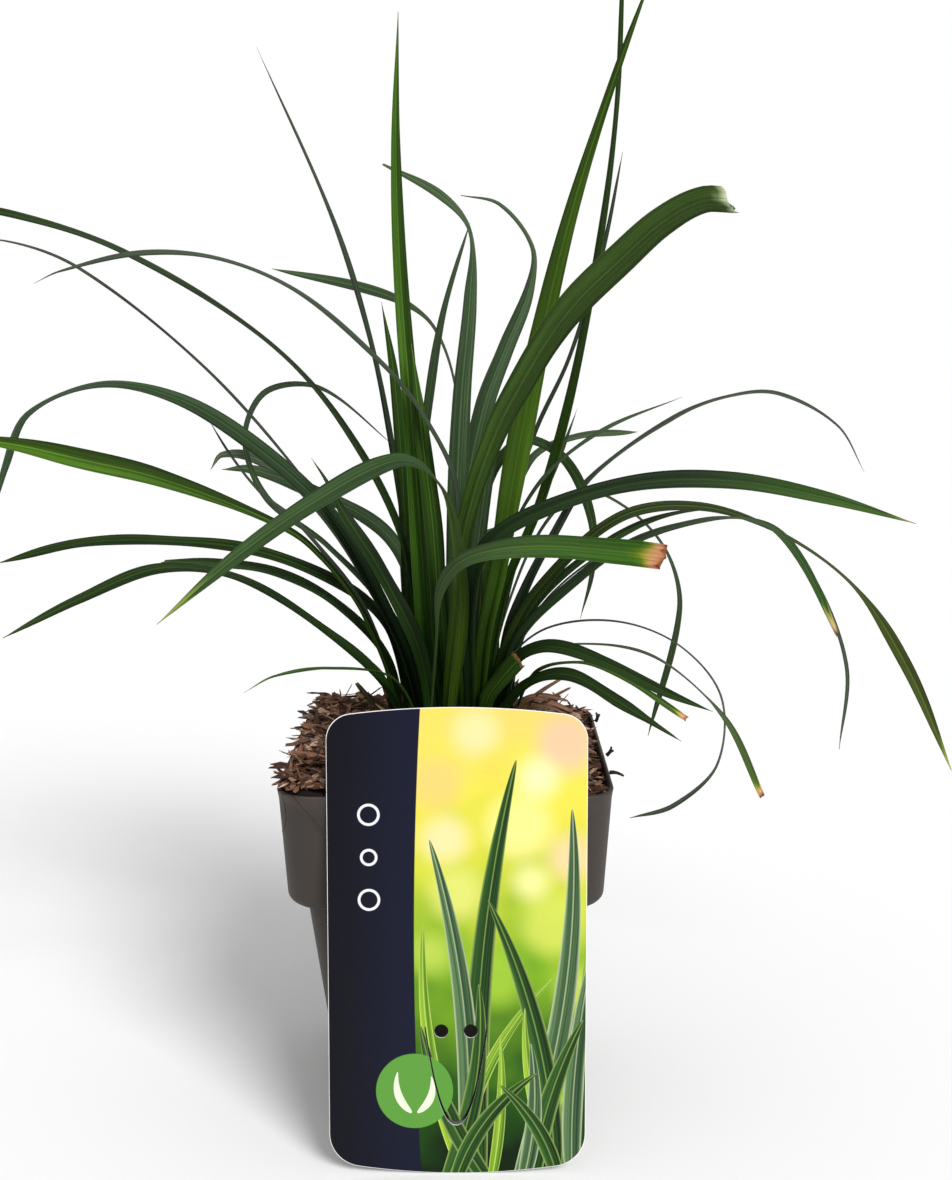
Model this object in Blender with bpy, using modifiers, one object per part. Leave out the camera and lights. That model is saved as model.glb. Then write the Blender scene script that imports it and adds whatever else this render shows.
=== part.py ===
"""A young carex sedge in its square nursery pot.

The pot stands on the ground at the origin, +Z up, its label to the front (-Y).
Lengths below are in millimetres, and MM turns them into metres.
"""
import math
import random

import bmesh
import bpy
import numpy as np
from mathutils import Vector

MM = 0.001
GAP = 0.35                      # clearance between pieces that rest on each other

# Pot: a deep straight collar over a narrower tapered body, both square with round corners
RIM_Z = 125.0
RIM_HALF = 55.2
RIM_CORNER = 12.0
COLLAR_FOOT_Z = 84.0            # lower edge of the collar
COLLAR_FOOT_HALF = 53.0
COLLAR_FOOT_CORNER = 11.6
COLLAR_ROUND = 4.5              # radius of the collar's lower edge
LEDGE_RISE = 0.4                # the ledge under the collar slopes up by this
BODY_TOP_HALF = 46.8
BODY_TOP_CORNER = 10.6
BASE_HALF = 37.1
BASE_CORNER = 9.5
BASE_EDGE = 1.5                 # slope between the floor and the wall
WALL = 1.2
DRAIN_COUNT = 8
DRAIN_RADIUS = 4.0
DRAIN_REACH = (22.0, 27.5)      # from the middle to the holes on the axes and on the diagonals

# Filling
EASE = 0.2                      # room left beside the filling on top of GAP
SOIL_FOOT_Z = 1.6
SOIL_TOP = 117.0
SOIL_CORNER = 0.2               # corner radius over half width
CROWN_CENTRE = (3.0, 0.0)
CROWN_REACH = (24.0, 21.5)      # half length across and half depth of the tuft's foot
CROWN_TOP = 131.0
MULCH_EDGE_Z = 124.2            # top of the bark at the pot wall
MULCH_MID_Z = 130.6             # top of the bark round the crown
MULCH_BUMP = 0.9                # height of its chips above or below the even heap

# Label: a flat plastic card that leans on the rim
LABEL_WIDTH = 84.0
LABEL_HEIGHT = 155.0
LABEL_THICK = 0.5
LABEL_X = 4.0
LABEL_LEAN = math.radians(5.66)
LABEL_ARCH = 3.2                # the top edge is this much lower at its corners
LABEL_SAG = 4.0                 # the bottom edge is this much higher at its corners
LABEL_TOP_CORNER = 8.5
LABEL_FOOT_CORNER = 11.0
HOLE_RADIUS = 2.3
HOLE_Z = 48.2                   # both punched holes, above the label's foot
HOLE_X = (-5.2, 4.4)
TONGUE_HALF = 10.4              # half width of the die-cut tongue round and below them
TONGUE_TOP = 49.6
TONGUE_LENGTH = 33.3
TONGUE_SLIT = 0.5
TONGUE_BEND = (0.75, 1.7)       # powers that curve its sides and point its tip

# Blades
EYE = np.array((10.0, -487.0, 274.0))   # the point the plant was drawn from
BLADE_FOOT_Z = CROWN_TOP + GAP
BLADE_THICK = 0.5
BLADE_FOLD = 0.15               # depth of the V fold over the blade's width
FOOT_WIDTH = 0.62               # width at the foot over full width
FULL_FROM = 0.3                 # share of the length where the blade reaches full width
TAPER_FROM = 0.45               # share of the length where the taper starts
TAPER_BEND = 1.7                # power that makes the taper quicken towards the tip
TIP_WIDTH = 0.7
FINE_STEPS = 24                 # steps per span of the curve that the midrib is measured on

# Each blade: name, width, part of its full length that is kept (a cut blade has less than 1),
# turn of its upper face towards the eye in degrees at even steps from foot to tip, its foot
# on the crown as (x, y), then its midrib as (x, z, y). There x and z are read where the sight line
# meets the plane y = 0, and y is the depth at which the point really lies.
BLADES = (
    ("leaf_left_high_arch", 6.0, 1.0, (50, 20, 14, 25, 40), (-9, 6),
     ((-15, 197, 9), (-37, 242, 22), (-64, 271, 36), (-110, 299, 54), (-147, 311, 66),
      (-164, 312, 71), (-176, 307, 75))),
    ("leaf_left_high_slender", 3.4, 1.0, (30, 25, 35), (-14, 11),
     ((-24, 182, 18), (-51, 223, 36), (-84, 261, 56), (-124, 293, 76), (-148, 302, 86),
      (-170, 302, 94))),
    ("leaf_left_slim_sweep", 4.0, 1.0, (30, 20, 22), (3, -5),
     ((3, 218, -6), (-9, 245, -2), (-23, 262, 4), (-50, 285, 16), (-76, 296, 28),
      (-103, 298, 38), (-131, 292, 46), (-140, 288, 48))),
    ("leaf_left_broad_arch", 8.4, 1.0, (70, 62, 36, 20, 8), (-10, -2),
     ((-14, 155, 0), (-24, 179, 4), (-41, 209, 9), (-65, 232, 16), (-92, 249, 24),
      (-119, 254, 32), (-144, 244, 38), (-153, 226, 40))),
    ("leaf_left_front_broad", 7.2, 1.0, (50, 14, 45, 55, 60), (-17, -4),
     ((-29, 172, -10), (-48, 198, -19), (-65, 209, -27), (-100, 221, -44),
      (-127, 227, -58), (-152, 235, -70), (-172, 235, -78), (-184, 229, -82))),
    ("leaf_front_left_arch", 8.0, 1.0, (-62, -45, 22, 52, 60), (0, -14),
     ((4, 179, -22), (1, 212, -31), (-7, 225, -38), (-18, 228, -44), (-44, 215, -58),
      (-73, 195, -70), (-103, 170, -80))),
    ("leaf_left_middle_arch", 6.4, 1.0, (50, 42, 48, 46, 42), (-15, 2),
     ((-20, 166, 6), (-34, 182, 11), (-66, 196, 20), (-101, 200, 30), (-129, 199, 36),
      (-158, 192, 40))),
    ("leaf_left_low_arch", 6.6, 1.0, (60, 36, 26, 50, 56), (-16, -9),
     ((-22, 147, -12), (-40, 165, -18), (-72, 186, -27), (-101, 190, -36),
      (-130, 179, -44), (-158, 165, -52))),
    ("leaf_left_low_blunt", 4.6, 0.92, (40, 30, 30), (-18, 5),
     ((-22, 158, 9), (-40, 178, 15), (-61, 189, 22), (-83, 192, 28), (-101, 192, 33))),
    ("leaf_left_small_low", 3.0, 1.0, (15, 12, 30), (-10, -14),
     ((-19, 150, -18), (-42, 154, -26), (-62, 151, -32), (-73, 145, -35))),
    ("leaf_left_back_loop", 5.2, 1.0, (40, 32, 25), (-11, 12),
     ((-20, 172, 20), (-42, 198, 33), (-63, 215, 46), (-70, 236, 60), (-62, 252, 72),
      (-43, 253, 84), (-18, 233, 96))),
    ("leaf_left_back_hook", 3.6, 1.0, (30, 30, 30), (-8, 15),
     ((-28, 186, 32), (-51, 219, 50), (-67, 229, 60), (-78, 230, 66), (-82, 225, 68))),
    ("leaf_left_thin_spike", 2.6, 1.0, (30, 30, 10), (-19, 1),
     ((-28, 172, 4), (-51, 205, 12), (-65, 217, 17), (-75, 230, 22), (-82, 242, 26))),
    ("leaf_left_short_point", 8.0, 1.0, (70, 66, 50, 30), (-6, -8),
     ((-10, 160, -7), (-24, 190, -3), (-37, 211, 2), (-42, 221, 5), (-47, 229, 8))),
    ("leaf_left_back_grey", 6.4, 1.0, (50, 45, 40), (-3, 14),
     ((-11, 182, 30), (-23, 204, 46), (-51, 219, 70), (-68, 225, 84), (-78, 225, 92))),
    ("leaf_tall_upright", 9.6, 1.0, (78, 75, 66, 60), (-6, 1),
     ((-8, 179, 4), (-11, 228, 7), (-15, 289, 10), (-16, 335, 12), (-15, 375, 13))),
    ("leaf_short_upright", 6.6, 1.0, (52, 48, 40), (-13, 8),
     ((-14, 175, 14), (-15, 214, 19), (-18, 256, 24), (-22, 282, 26))),
    ("leaf_tall_slender_left", 3.6, 1.0, (40, 30, 30), (-8, 11),
     ((-14, 193, 22), (-19, 232, 30), (-26, 269, 37), (-38, 309, 46), (-62, 364, 58))),
    ("leaf_back_left_arch", 5.0, 1.0, (30, 42, 30), (-2, 18),
     ((2, 190, 36), (4, 246, 56), (-4, 273, 68), (-20, 284, 78), (-59, 293, 96))),
    ("leaf_back_tall_hook", 9.0, 1.0, (75, 68, 50, 42), (3, 11),
     ((3, 200, 22), (5, 249, 31), (8, 283, 38), (8, 305, 44), (-2, 317, 51),
      (-21, 327, 60))),
    ("leaf_back_slim_upright", 4.6, 1.0, (50, 45, 30), (-2, 7),
     ((-7, 193, 14), (-8, 228, 18), (-6, 249, 20), (-1, 278, 22), (8, 308, 24))),
    ("leaf_back_right_hook", 8.4, 1.0, (60, 60, 40, 10), (8, 14),
     ((4, 215, 32), (9, 246, 40), (20, 266, 48), (28, 286, 56), (29, 300, 62),
      (18, 314, 70), (5, 317, 76))),
    ("leaf_front_right_broad", 10.6, 0.86, (-68, -76, -82, -78, -70), (5, -9),
     ((3, 193, -18), (6, 218, -28), (14, 239, -42), (24, 256, -56), (45, 282, -82),
      (59, 295, -95), (72, 306, -106), (87, 315, -120), (98, 314, -128))),
    ("leaf_right_tall_upright", 8.6, 1.0, (68, 70, 60), (11, -12),
     ((13, 164, -14), (18, 189, -15), (23, 221, -15), (32, 269, -13), (42, 311, -11),
      (56, 355, -9), (68, 388, -8))),
    ("leaf_right_slim_upright", 4.6, 1.0, (45, 35, 30), (14, 4),
     ((20, 180, 8), (33, 214, 11), (44, 256, 14), (53, 309, 17), (57, 347, 19),
      (58, 386, 20))),
    ("leaf_right_thin_upright", 3.2, 1.0, (40, 30, 30), (10, 9),
     ((18, 190, 20), (30, 236, 26), (42, 263, 30), (53, 299, 34), (59, 331, 37))),
    ("leaf_right_short_tip", 3.2, 1.0, (30, 30, 30), (14, 9),
     ((23, 187, 18), (33, 214, 24), (39, 229, 28), (45, 246, 32))),
    ("leaf_right_back_level", 4.6, 1.0, (20, 32, 32), (12, 14),
     ((20, 200, 40), (29, 228, 56), (44, 236, 70), (66, 238, 88))),
    ("leaf_right_thin_rising", 4.2, 1.0, (20, 16, 16), (10, 0),
     ((18, 190, 1), (32, 220, 3), (53, 238, 6), (81, 250, 10))),
    ("leaf_right_slim_arc", 7.4, 1.0, (62, 52, 26, 16, 8, 5), (18, 8),
     ((22, 166, 12), (28, 183, 18), (36, 199, 25), (50, 222, 36), (78, 244, 54),
      (96, 250, 64), (114, 251, 74), (135, 241, 84), (145, 224, 88))),
    ("leaf_right_long_broad", 7.4, 1.0, (40, 46, 50, 48), (9, -17),
     ((8, 179, -20), (14, 198, -23), (32, 210, -26), (65, 220, -30), (99, 221, -34),
      (132, 215, -38), (164, 206, -42))),
    ("leaf_right_long_arch", 7.4, 1.0, (65, 55, 20, 14, 45, 55), (16, 1),
     ((20, 158, 2), (32, 182, 5), (60, 208, 11), (88, 212, 17), (116, 203, 23),
      (143, 184, 28), (164, 154, 31), (182, 116, 34))),
    ("leaf_right_pale_short", 4.8, 1.0, (40, 34, 20), (19, 4),
     ((27, 170, 8), (40, 187, 11), (66, 205, 17), (88, 211, 23), (102, 209, 27))),
    ("leaf_right_brown_tipped", 7.4, 0.93, (65, 52, 24, 14, 50), (20, -4),
     ((24, 162, -4), (40, 181, -4), (66, 200, -5), (97, 208, -7), (113, 205, -8),
      (125, 192, -9), (139, 165, -10))),
    ("leaf_right_threadlike", 2.4, 1.0, (30, 15, 30), (23, 1),
     ((29, 166, 2), (54, 190, 6), (90, 204, 11), (113, 202, 14), (130, 187, 16),
      (143, 152, 18), (141, 124, 19))),
    ("leaf_front_cut_broad", 8.0, 0.62, (4, 8, 40, 62, 66), (-6, -17),
     ((-4, 164, -22), (-3, 181, -29), (3, 191, -36), (14, 196, -44), (33, 198, -56),
      (61, 196, -76), (77, 194, -88))),
    ("leaf_right_drooping_back", 5.2, 1.0, (20, 16, 60), (14, 13),
     ((26, 190, 36), (45, 217, 56), (62, 212, 66), (77, 196, 74), (82, 175, 76),
      (72, 129, 76))),
    ("leaf_right_hooked", 6.2, 1.0, (45, 38, 30), (5, 4),
     ((9, 195, 9), (16, 224, 13), (27, 235, 16), (41, 228, 20), (50, 209, 23),
      (51, 190, 25), (47, 172, 26))),
    ("leaf_right_round_loop", 3.6, 1.0, (30, 10, 30), (16, -7),
     ((22, 157, -9), (36, 169, -10), (61, 171, -8), (83, 162, -4), (98, 143, 2),
      (97, 118, 5), (82, 103, 2), (66, 98, -2))),
    ("leaf_right_low_slender", 4.6, 0.84, (20, 10, 50), (21, -7),
     ((27, 158, -9), (48, 163, -12), (74, 158, -16), (99, 136, -20), (114, 106, -24))),
    ("leaf_right_low_broad", 6.6, 1.0, (25, 40, 42), (18, -11),
     ((24, 156, -14), (36, 162, -19), (56, 156, -27), (78, 145, -36), (95, 138, -42))),
    ("leaf_right_lowest", 6.2, 1.0, (30, 38, 40), (15, -16),
     ((24, 144, -20), (34, 151, -25), (45, 151, -30), (62, 141, -38), (84, 127, -48))),
    ("leaf_right_low_cut", 4.4, 0.84, (12, 26, 50), (24, -5),
     ((31, 152, -7), (48, 156, -11), (65, 149, -16), (86, 135, -22))),
    ("leaf_cut_stub", 6.8, 0.34, (60, 65, 68), (12, -16),
     ((14, 142, -18), (19, 150, -20), (26, 158, -23))),
    ("leaf_rear_high_arch", 7.0, 1.0, None, (4, 19),
     ((9, 206, 48), (8, 229, 84), (6, 226, 120), (4, 204, 150), (3, 190, 162))),
    ("leaf_rear_left_arch", 6.6, 1.0, None, (-12, 17),
     ((-13, 177, 42), (-14, 199, 74), (-13, 202, 108), (-12, 184, 140))),
    ("leaf_rear_middle", 6.4, 1.0, None, (-5, 19),
     ((-5, 167, 50), (-6, 173, 88), (-6, 162, 130), (-6, 152, 156))),
    ("leaf_rear_right_arch", 7.0, 1.0, None, (11, 19),
     ((12, 190, 46), (14, 204, 84), (14, 195, 128), (13, 176, 164))),
    ("leaf_rear_low_droop", 6.0, 1.0, None, (0, 20),
     ((3, 158, 52), (5, 160, 86), (6, 148, 118), (6, 133, 140))),
    ("leaf_rear_short", 5.0, 1.0, None, (17, 15),
     ((16, 168, 40), (17, 182, 68), (16, 177, 98), (15, 166, 120))),
    ("leaf_inner_left", 7.0, 1.0, (62, 60, 55), (-1, -5),
     ((-3, 170, -3), (-5, 205, 0), (-9, 240, 2), (-12, 268, 3))),
    ("leaf_inner_right", 7.4, 1.0, (60, 60, 50), (8, -5),
     ((10, 165, -7), (15, 200, -8), (21, 232, -8), (27, 256, -7))),
)

# Base colours (linear), roughness
POT_BROWN = (0.058, 0.049, 0.041, 0.55)
SOIL_DARK = (0.030, 0.020, 0.013, 0.95)
BARK_BROWN = (0.150, 0.070, 0.038, 0.90)
LABEL_TINT = (0.520, 0.560, 0.130, 0.35)
CROWN_GREEN = (0.035, 0.060, 0.012, 0.60)
BLADE_GREEN = (0.045, 0.120, 0.016, 0.45)


def clear_scene():
    for item in list(bpy.data.objects):
        bpy.data.objects.remove(item, do_unlink=True)


def material(name, look):
    """A plain Principled material from (red, green, blue, roughness)."""
    made = bpy.data.materials.new(name)
    made.use_nodes = True
    shader = made.node_tree.nodes["Principled BSDF"]
    shader.inputs["Base Color"].default_value = (*look[:3], 1.0)
    shader.inputs["Roughness"].default_value = look[3]
    made.diffuse_color = (*look[:3], 1.0)
    return made


def new_collection(name):
    made = bpy.data.collections.new(name)
    bpy.context.scene.collection.children.link(made)
    return made


def mesh_object(name, shape, collection, look=None):
    """Turn a bmesh in millimetres into a named object in metres."""
    bmesh.ops.recalc_face_normals(shape, faces=shape.faces)
    bmesh.ops.scale(shape, vec=(MM, MM, MM), verts=shape.verts)
    mesh = bpy.data.meshes.new(name)
    shape.to_mesh(mesh)
    shape.free()
    made = bpy.data.objects.new(name, mesh)
    collection.objects.link(made)
    if look is not None:
        mesh.materials.append(look)
    return made


def rounded_square(half, corner, steps=5):
    """Plan points of a square with round corners, counter-clockwise."""
    points = []
    for quarter in range(4):
        turn = quarter * math.pi / 2
        across = math.cos(turn) - math.sin(turn), math.sin(turn) + math.cos(turn)
        centre = [(half - corner) * side for side in across]
        for step in range(steps + 1):
            angle = turn + step / steps * math.pi / 2
            points.append((centre[0] + corner * math.cos(angle),
                           centre[1] + corner * math.sin(angle)))
    return points


def square_reach(angle, half, corner):
    """How far a round-cornered square reaches from its middle in one direction."""
    c, s = abs(math.cos(angle)), abs(math.sin(angle))
    reach = half / max(c, s)
    inner = half - corner
    if min(c, s) * reach > inner:
        along = inner * (c + s)
        reach = along + math.sqrt(along * along - 2 * inner * inner + corner * corner)
    return reach


def skin_rings(shape, rings, close_ends):
    """Join rings of equal point count into one tube, its ends capped where asked."""
    loops = [[shape.verts.new(point) for point in ring] for ring in rings]
    count = len(loops[0])
    for low, high in zip(loops, loops[1:]):
        for i in range(count):
            j = (i + 1) % count
            shape.faces.new((low[i], low[j], high[j], high[i]))
    for wanted, loop in zip(close_ends, (loops[0], loops[-1])):
        if wanted:
            shape.faces.new(loop)
    return loops


def pot_profile():
    """(half width, corner radius, height) of the pot's outer face, from the floor up."""
    rings = [(BASE_HALF - BASE_EDGE, BASE_CORNER - BASE_EDGE, 0.0),
             (BASE_HALF, BASE_CORNER, BASE_EDGE),
             (BODY_TOP_HALF, BODY_TOP_CORNER, COLLAR_FOOT_Z - LEDGE_RISE)]
    for step in range(5):
        angle = math.radians(22.5 * step)
        rings.append((COLLAR_FOOT_HALF - COLLAR_ROUND * (1 - math.sin(angle)),
                      COLLAR_FOOT_CORNER,
                      COLLAR_FOOT_Z + COLLAR_ROUND * (1 - math.cos(angle))))
    rings.append((RIM_HALF, RIM_CORNER, RIM_Z))
    return rings


def build_pot(collection, cutters):
    """An open skin thickened inwards, with a ring of drain holes in its floor."""
    shape = bmesh.new()
    rings = [[(x, y, z) for x, y in rounded_square(half, corner)]
             for half, corner, z in pot_profile()]
    skin_rings(shape, rings, (True, False))
    pot = mesh_object("pot", shape, collection, material("pot_plastic", POT_BROWN))
    wall = pot.modifiers.new("wall", "SOLIDIFY")
    wall.thickness = WALL * MM
    wall.offset = -1.0
    wall.use_even_offset = True
    for number in range(DRAIN_COUNT):
        angle = number * 2 * math.pi / DRAIN_COUNT
        reach = DRAIN_REACH[number % 2]
        drill = bmesh.new()
        bmesh.ops.create_cone(drill, cap_ends=True, segments=16, radius1=DRAIN_RADIUS,
                              radius2=DRAIN_RADIUS, depth=6 * WALL)
        spot = Vector((reach * math.cos(angle), reach * math.sin(angle), WALL / 2))
        bmesh.ops.translate(drill, vec=spot, verts=drill.verts)
        cutter = mesh_object(f"drain_cutter_{number + 1}", drill, cutters)
        cutter.hide_render = True
        cutter.display_type = "WIRE"
        hole = pot.modifiers.new(f"drain_{number + 1}", "BOOLEAN")
        hole.operation = "DIFFERENCE"
        hole.object = cutter


def collar_half(z):
    """Outer half width of the collar at a height above its rounded foot."""
    foot = COLLAR_FOOT_Z + COLLAR_ROUND
    return COLLAR_FOOT_HALF + (RIM_HALF - COLLAR_FOOT_HALF) * (z - foot) / (RIM_Z - foot)


def build_soil(collection):
    """The root ball follows the inside of the pot, just clear of its wall."""
    inset = WALL + GAP + EASE
    ledge_z = COLLAR_FOOT_Z + inset
    profile = ((BASE_HALF - inset - BASE_EDGE, SOIL_FOOT_Z),
               (BODY_TOP_HALF - inset, ledge_z),
               (COLLAR_FOOT_HALF - inset - COLLAR_ROUND / 2, ledge_z + COLLAR_ROUND / 4),
               (COLLAR_FOOT_HALF - inset, ledge_z + COLLAR_ROUND),
               (collar_half(SOIL_TOP) - inset, SOIL_TOP))
    shape = bmesh.new()
    skin_rings(shape, [[(x, y, z) for x, y in rounded_square(half, half * SOIL_CORNER)]
                       for half, z in profile], (True, True))
    mesh_object("soil_root_ball", shape, collection, material("potting_soil", SOIL_DARK))


def build_crown(collection):
    """The firm foot of the tuft that all blades grow from."""
    shape = bmesh.new()
    bottom = SOIL_TOP + GAP
    bmesh.ops.create_cone(shape, cap_ends=True, segments=32, radius1=1.0, radius2=1.0,
                          depth=CROWN_TOP - bottom)
    bmesh.ops.scale(shape, vec=(*CROWN_REACH, 1.0), verts=shape.verts)
    middle = (CROWN_TOP + bottom) / 2
    bmesh.ops.translate(shape, vec=(*CROWN_CENTRE, middle), verts=shape.verts)
    mesh_object("crown", shape, collection, material("sheath_bases", CROWN_GREEN))


def build_mulch(collection):
    """A bark layer from the crown out to the pot wall, heaped towards the crown."""
    around = 48
    bands = 5
    rng = random.Random(5)
    angles = [2 * math.pi * i / around for i in range(around)]
    low_half = collar_half(SOIL_TOP) - WALL - GAP - EASE
    edge_half = collar_half(MULCH_EDGE_Z) - WALL - GAP - EASE
    top_rings = []
    for band in range(bands + 1):
        share = band / bands
        height = MULCH_MID_Z + (MULCH_EDGE_Z - MULCH_MID_Z) * share ** 2
        ring = []
        for angle in angles:
            c, s = math.cos(angle), math.sin(angle)
            inner_x = CROWN_CENTRE[0] + (CROWN_REACH[0] + GAP) * c
            inner_y = CROWN_CENTRE[1] + (CROWN_REACH[1] + GAP) * s
            outer = square_reach(angle, edge_half, RIM_CORNER - WALL)
            bump = rng.uniform(-MULCH_BUMP, MULCH_BUMP) if 0 < band < bands else 0.0
            ring.append((inner_x + (c * outer - inner_x) * share,
                         inner_y + (s * outer - inner_y) * share,
                         height + bump))
        top_rings.append(ring)
    floor = SOIL_TOP + GAP
    inner_foot = [(x, y, floor) for x, y, _ in top_rings[0]]
    outer_foot = [(math.cos(angle) * square_reach(angle, low_half, RIM_CORNER - WALL),
                   math.sin(angle) * square_reach(angle, low_half, RIM_CORNER - WALL), floor)
                  for angle in angles]
    shape = bmesh.new()
    loops = skin_rings(shape, [inner_foot, *top_rings, outer_foot], (False, False))
    count = len(loops[0])
    for i in range(count):
        j = (i + 1) % count
        shape.faces.new((loops[-1][i], loops[-1][j], loops[0][j], loops[0][i]))
    mesh_object("bark_mulch", shape, collection, material("bark", BARK_BROWN))


def label_outline():
    """Card outline in its own plane: x across, second number up from the foot."""
    half = LABEL_WIDTH / 2
    points = []

    def corner(cx, cz, radius, start):
        for step in range(7):
            angle = math.radians(start + step * 15)
            points.append((cx + radius * math.cos(angle), cz + radius * math.sin(angle)))

    def bow(x_from, x_to, level, rise):
        for step in range(1, 8):
            x = x_from + (x_to - x_from) * step / 8
            points.append((x, level + rise * (1 - (x / half) ** 2)))

    top = LABEL_HEIGHT - LABEL_ARCH
    corner(half - LABEL_TOP_CORNER, top - LABEL_TOP_CORNER, LABEL_TOP_CORNER, 0)
    bow(half - LABEL_TOP_CORNER, LABEL_TOP_CORNER - half, top, LABEL_ARCH)
    corner(LABEL_TOP_CORNER - half, top - LABEL_TOP_CORNER, LABEL_TOP_CORNER, 90)
    foot = LABEL_SAG
    corner(LABEL_FOOT_CORNER - half, foot + LABEL_FOOT_CORNER, LABEL_FOOT_CORNER, 180)
    bow(LABEL_FOOT_CORNER - half, half - LABEL_FOOT_CORNER, foot, -LABEL_SAG)
    corner(half - LABEL_FOOT_CORNER, foot + LABEL_FOOT_CORNER, LABEL_FOOT_CORNER, 270)
    return points


def tongue_slit():
    """A narrow U that frees the pointed tongue round the holes, as one closed outline."""
    outer, inner = [], []
    middle = sum(HOLE_X) / 2
    steps = 8
    for step in range(-steps, steps + 1):
        share = abs(step) / steps
        side = math.copysign(1, step)
        reach = TONGUE_HALF * share ** TONGUE_BEND[0]
        level = TONGUE_TOP - TONGUE_LENGTH * (1 - share ** TONGUE_BEND[1])
        outer.append((middle + side * reach, level))
        inner.append((middle + side * max(reach - TONGUE_SLIT, 0.0),
                      level + 2 * TONGUE_SLIT * (1 - share)))
    return outer + inner[::-1]


def circle(cx, cz, radius, steps=16):
    return [(cx + radius * math.cos(2 * math.pi * k / steps),
             cz + radius * math.sin(2 * math.pi * k / steps)) for k in range(steps)]


def build_label(collection):
    """A flat outline with two holes and a slit, stood up and leaned on the rim."""
    curve = bpy.data.curves.new("plant_label", "CURVE")
    curve.dimensions = "2D"
    curve.fill_mode = "BOTH"
    curve.extrude = LABEL_THICK / 2 * MM
    outlines = [label_outline(), tongue_slit()]
    outlines += [circle(x, HOLE_Z, HOLE_RADIUS) for x in HOLE_X]
    for outline in outlines:
        spline = curve.splines.new("POLY")
        spline.points.add(len(outline) - 1)
        spline.use_cyclic_u = True
        for point, (x, z) in zip(spline.points, outline):
            point.co = (x * MM, z * MM, 0.0, 1.0)
    card = bpy.data.objects.new("plant_label", curve)
    collection.objects.link(card)
    curve.materials.append(material("label_card", LABEL_TINT))
    weld = card.modifiers.new("weld", "WELD")
    weld.merge_threshold = 0.00001
    rim_y = -(RIM_HALF + GAP + LABEL_THICK / 2 / math.cos(LABEL_LEAN))
    foot_y = rim_y - RIM_Z * math.tan(LABEL_LEAN)
    card.rotation_euler = (math.pi / 2 - LABEL_LEAN, 0.0, 0.0)
    lift = LABEL_THICK / 2 * math.sin(LABEL_LEAN)
    card.location = Vector((LABEL_X, foot_y, lift)) * MM


def real_point(x, z, y):
    """The point at depth y on the sight line through (x, 0, z)."""
    seen = np.array((x, 0.0, z))
    return EYE + (seen - EYE) * (y - EYE[1]) / -EYE[1]


def midrib(foot, seen_points, count):
    """count + 1 even steps along a smooth line that leaves the crown straight up."""
    knots = [np.array((*foot, BLADE_FOOT_Z))]
    knots += [real_point(*point) for point in seen_points]
    knots = np.array(knots)
    spans = np.linalg.norm(np.diff(knots, axis=0), axis=1)
    at = np.concatenate(([0.0], np.cumsum(spans)))
    slopes = np.zeros_like(knots)
    slopes[0] = (0.0, 0.0, 1.0)
    slopes[-1] = (knots[-1] - knots[-2]) / spans[-1]
    for i in range(1, len(knots) - 1):
        slopes[i] = (knots[i + 1] - knots[i - 1]) / (at[i + 1] - at[i - 1])
    fine = []
    for i, span in enumerate(spans):
        for s in np.linspace(0.0, 1.0, FINE_STEPS, endpoint=False):
            fine.append((1 + 2 * s) * (1 - s) ** 2 * knots[i]
                        + s * (1 - s) ** 2 * span * slopes[i]
                        + s ** 2 * (3 - 2 * s) * knots[i + 1]
                        + s ** 2 * (s - 1) * span * slopes[i + 1])
    fine.append(knots[-1])
    fine = np.array(fine)
    run = np.concatenate(([0.0], np.cumsum(np.linalg.norm(np.diff(fine, axis=0), axis=1))))
    even = np.linspace(0.0, run[-1], count + 1)
    return np.stack([np.interp(even, run, fine[:, axis]) for axis in range(3)], axis=1)


def unit(vector):
    return vector / np.linalg.norm(vector)


def blade_width(width, share):
    """Narrow at the foot, full from a third of the way, then a long taper to the tip."""
    rise = min(share / FULL_FROM, 1.0)
    body = FOOT_WIDTH + (1 - FOOT_WIDTH) * rise * rise * (3 - 2 * rise)
    taper = max(share - TAPER_FROM, 0.0) / (1 - TAPER_FROM)
    return max(width * body * (1 - taper ** TAPER_BEND), TIP_WIDTH)


def blade_sections(width, kept, turn, foot, seen_points):
    """V-shaped sections along the midrib, the fold open towards the upper face."""
    count = 2 * len(seen_points) + 3
    spine = midrib(foot, seen_points, count)
    side = 1.0 if seen_points[-1][0] > foot[0] else -1.0
    heading = spine[-1] - spine[0]
    level = unit(np.array((heading[1], -heading[0], 0.0)))
    sections = []
    for i, point in enumerate(spine):
        share = i / count
        before, after = spine[max(i - 1, 0)], spine[min(i + 1, count)]
        along = unit(after - before) if i else np.array((0.0, 0.0, 1.0))
        if turn is None:
            across = unit(level - along * np.dot(level, along))
            upper = np.cross(across, along)
        else:
            facing = np.interp(share, np.linspace(0.0, 1.0, len(turn)), turn)
            angle = math.radians(90.0 + side * facing)
            edgeways = unit(np.cross(along, point - EYE))
            across = math.cos(angle) * edgeways + math.sin(angle) * np.cross(along, edgeways)
            upper = side * np.cross(across, along)
        wide = blade_width(width, share * kept)
        fold = BLADE_FOLD * wide / 2
        thick = BLADE_THICK / 2
        outline = ((-wide / 2, fold + thick), (0.0, thick - fold), (wide / 2, fold + thick),
                   (wide / 2, fold - thick), (0.0, -thick - fold), (-wide / 2, fold - thick))
        sections.append([tuple(point + across * a + upper * b) for a, b in outline])
    return sections


def build_blades(collection):
    look = material("sedge_blade", BLADE_GREEN)
    for name, width, kept, turn, foot, seen_points in BLADES:
        shape = bmesh.new()
        skin_rings(shape, blade_sections(width, kept, turn, foot, seen_points), (True, True))
        mesh_object(name, shape, collection, look)


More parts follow.
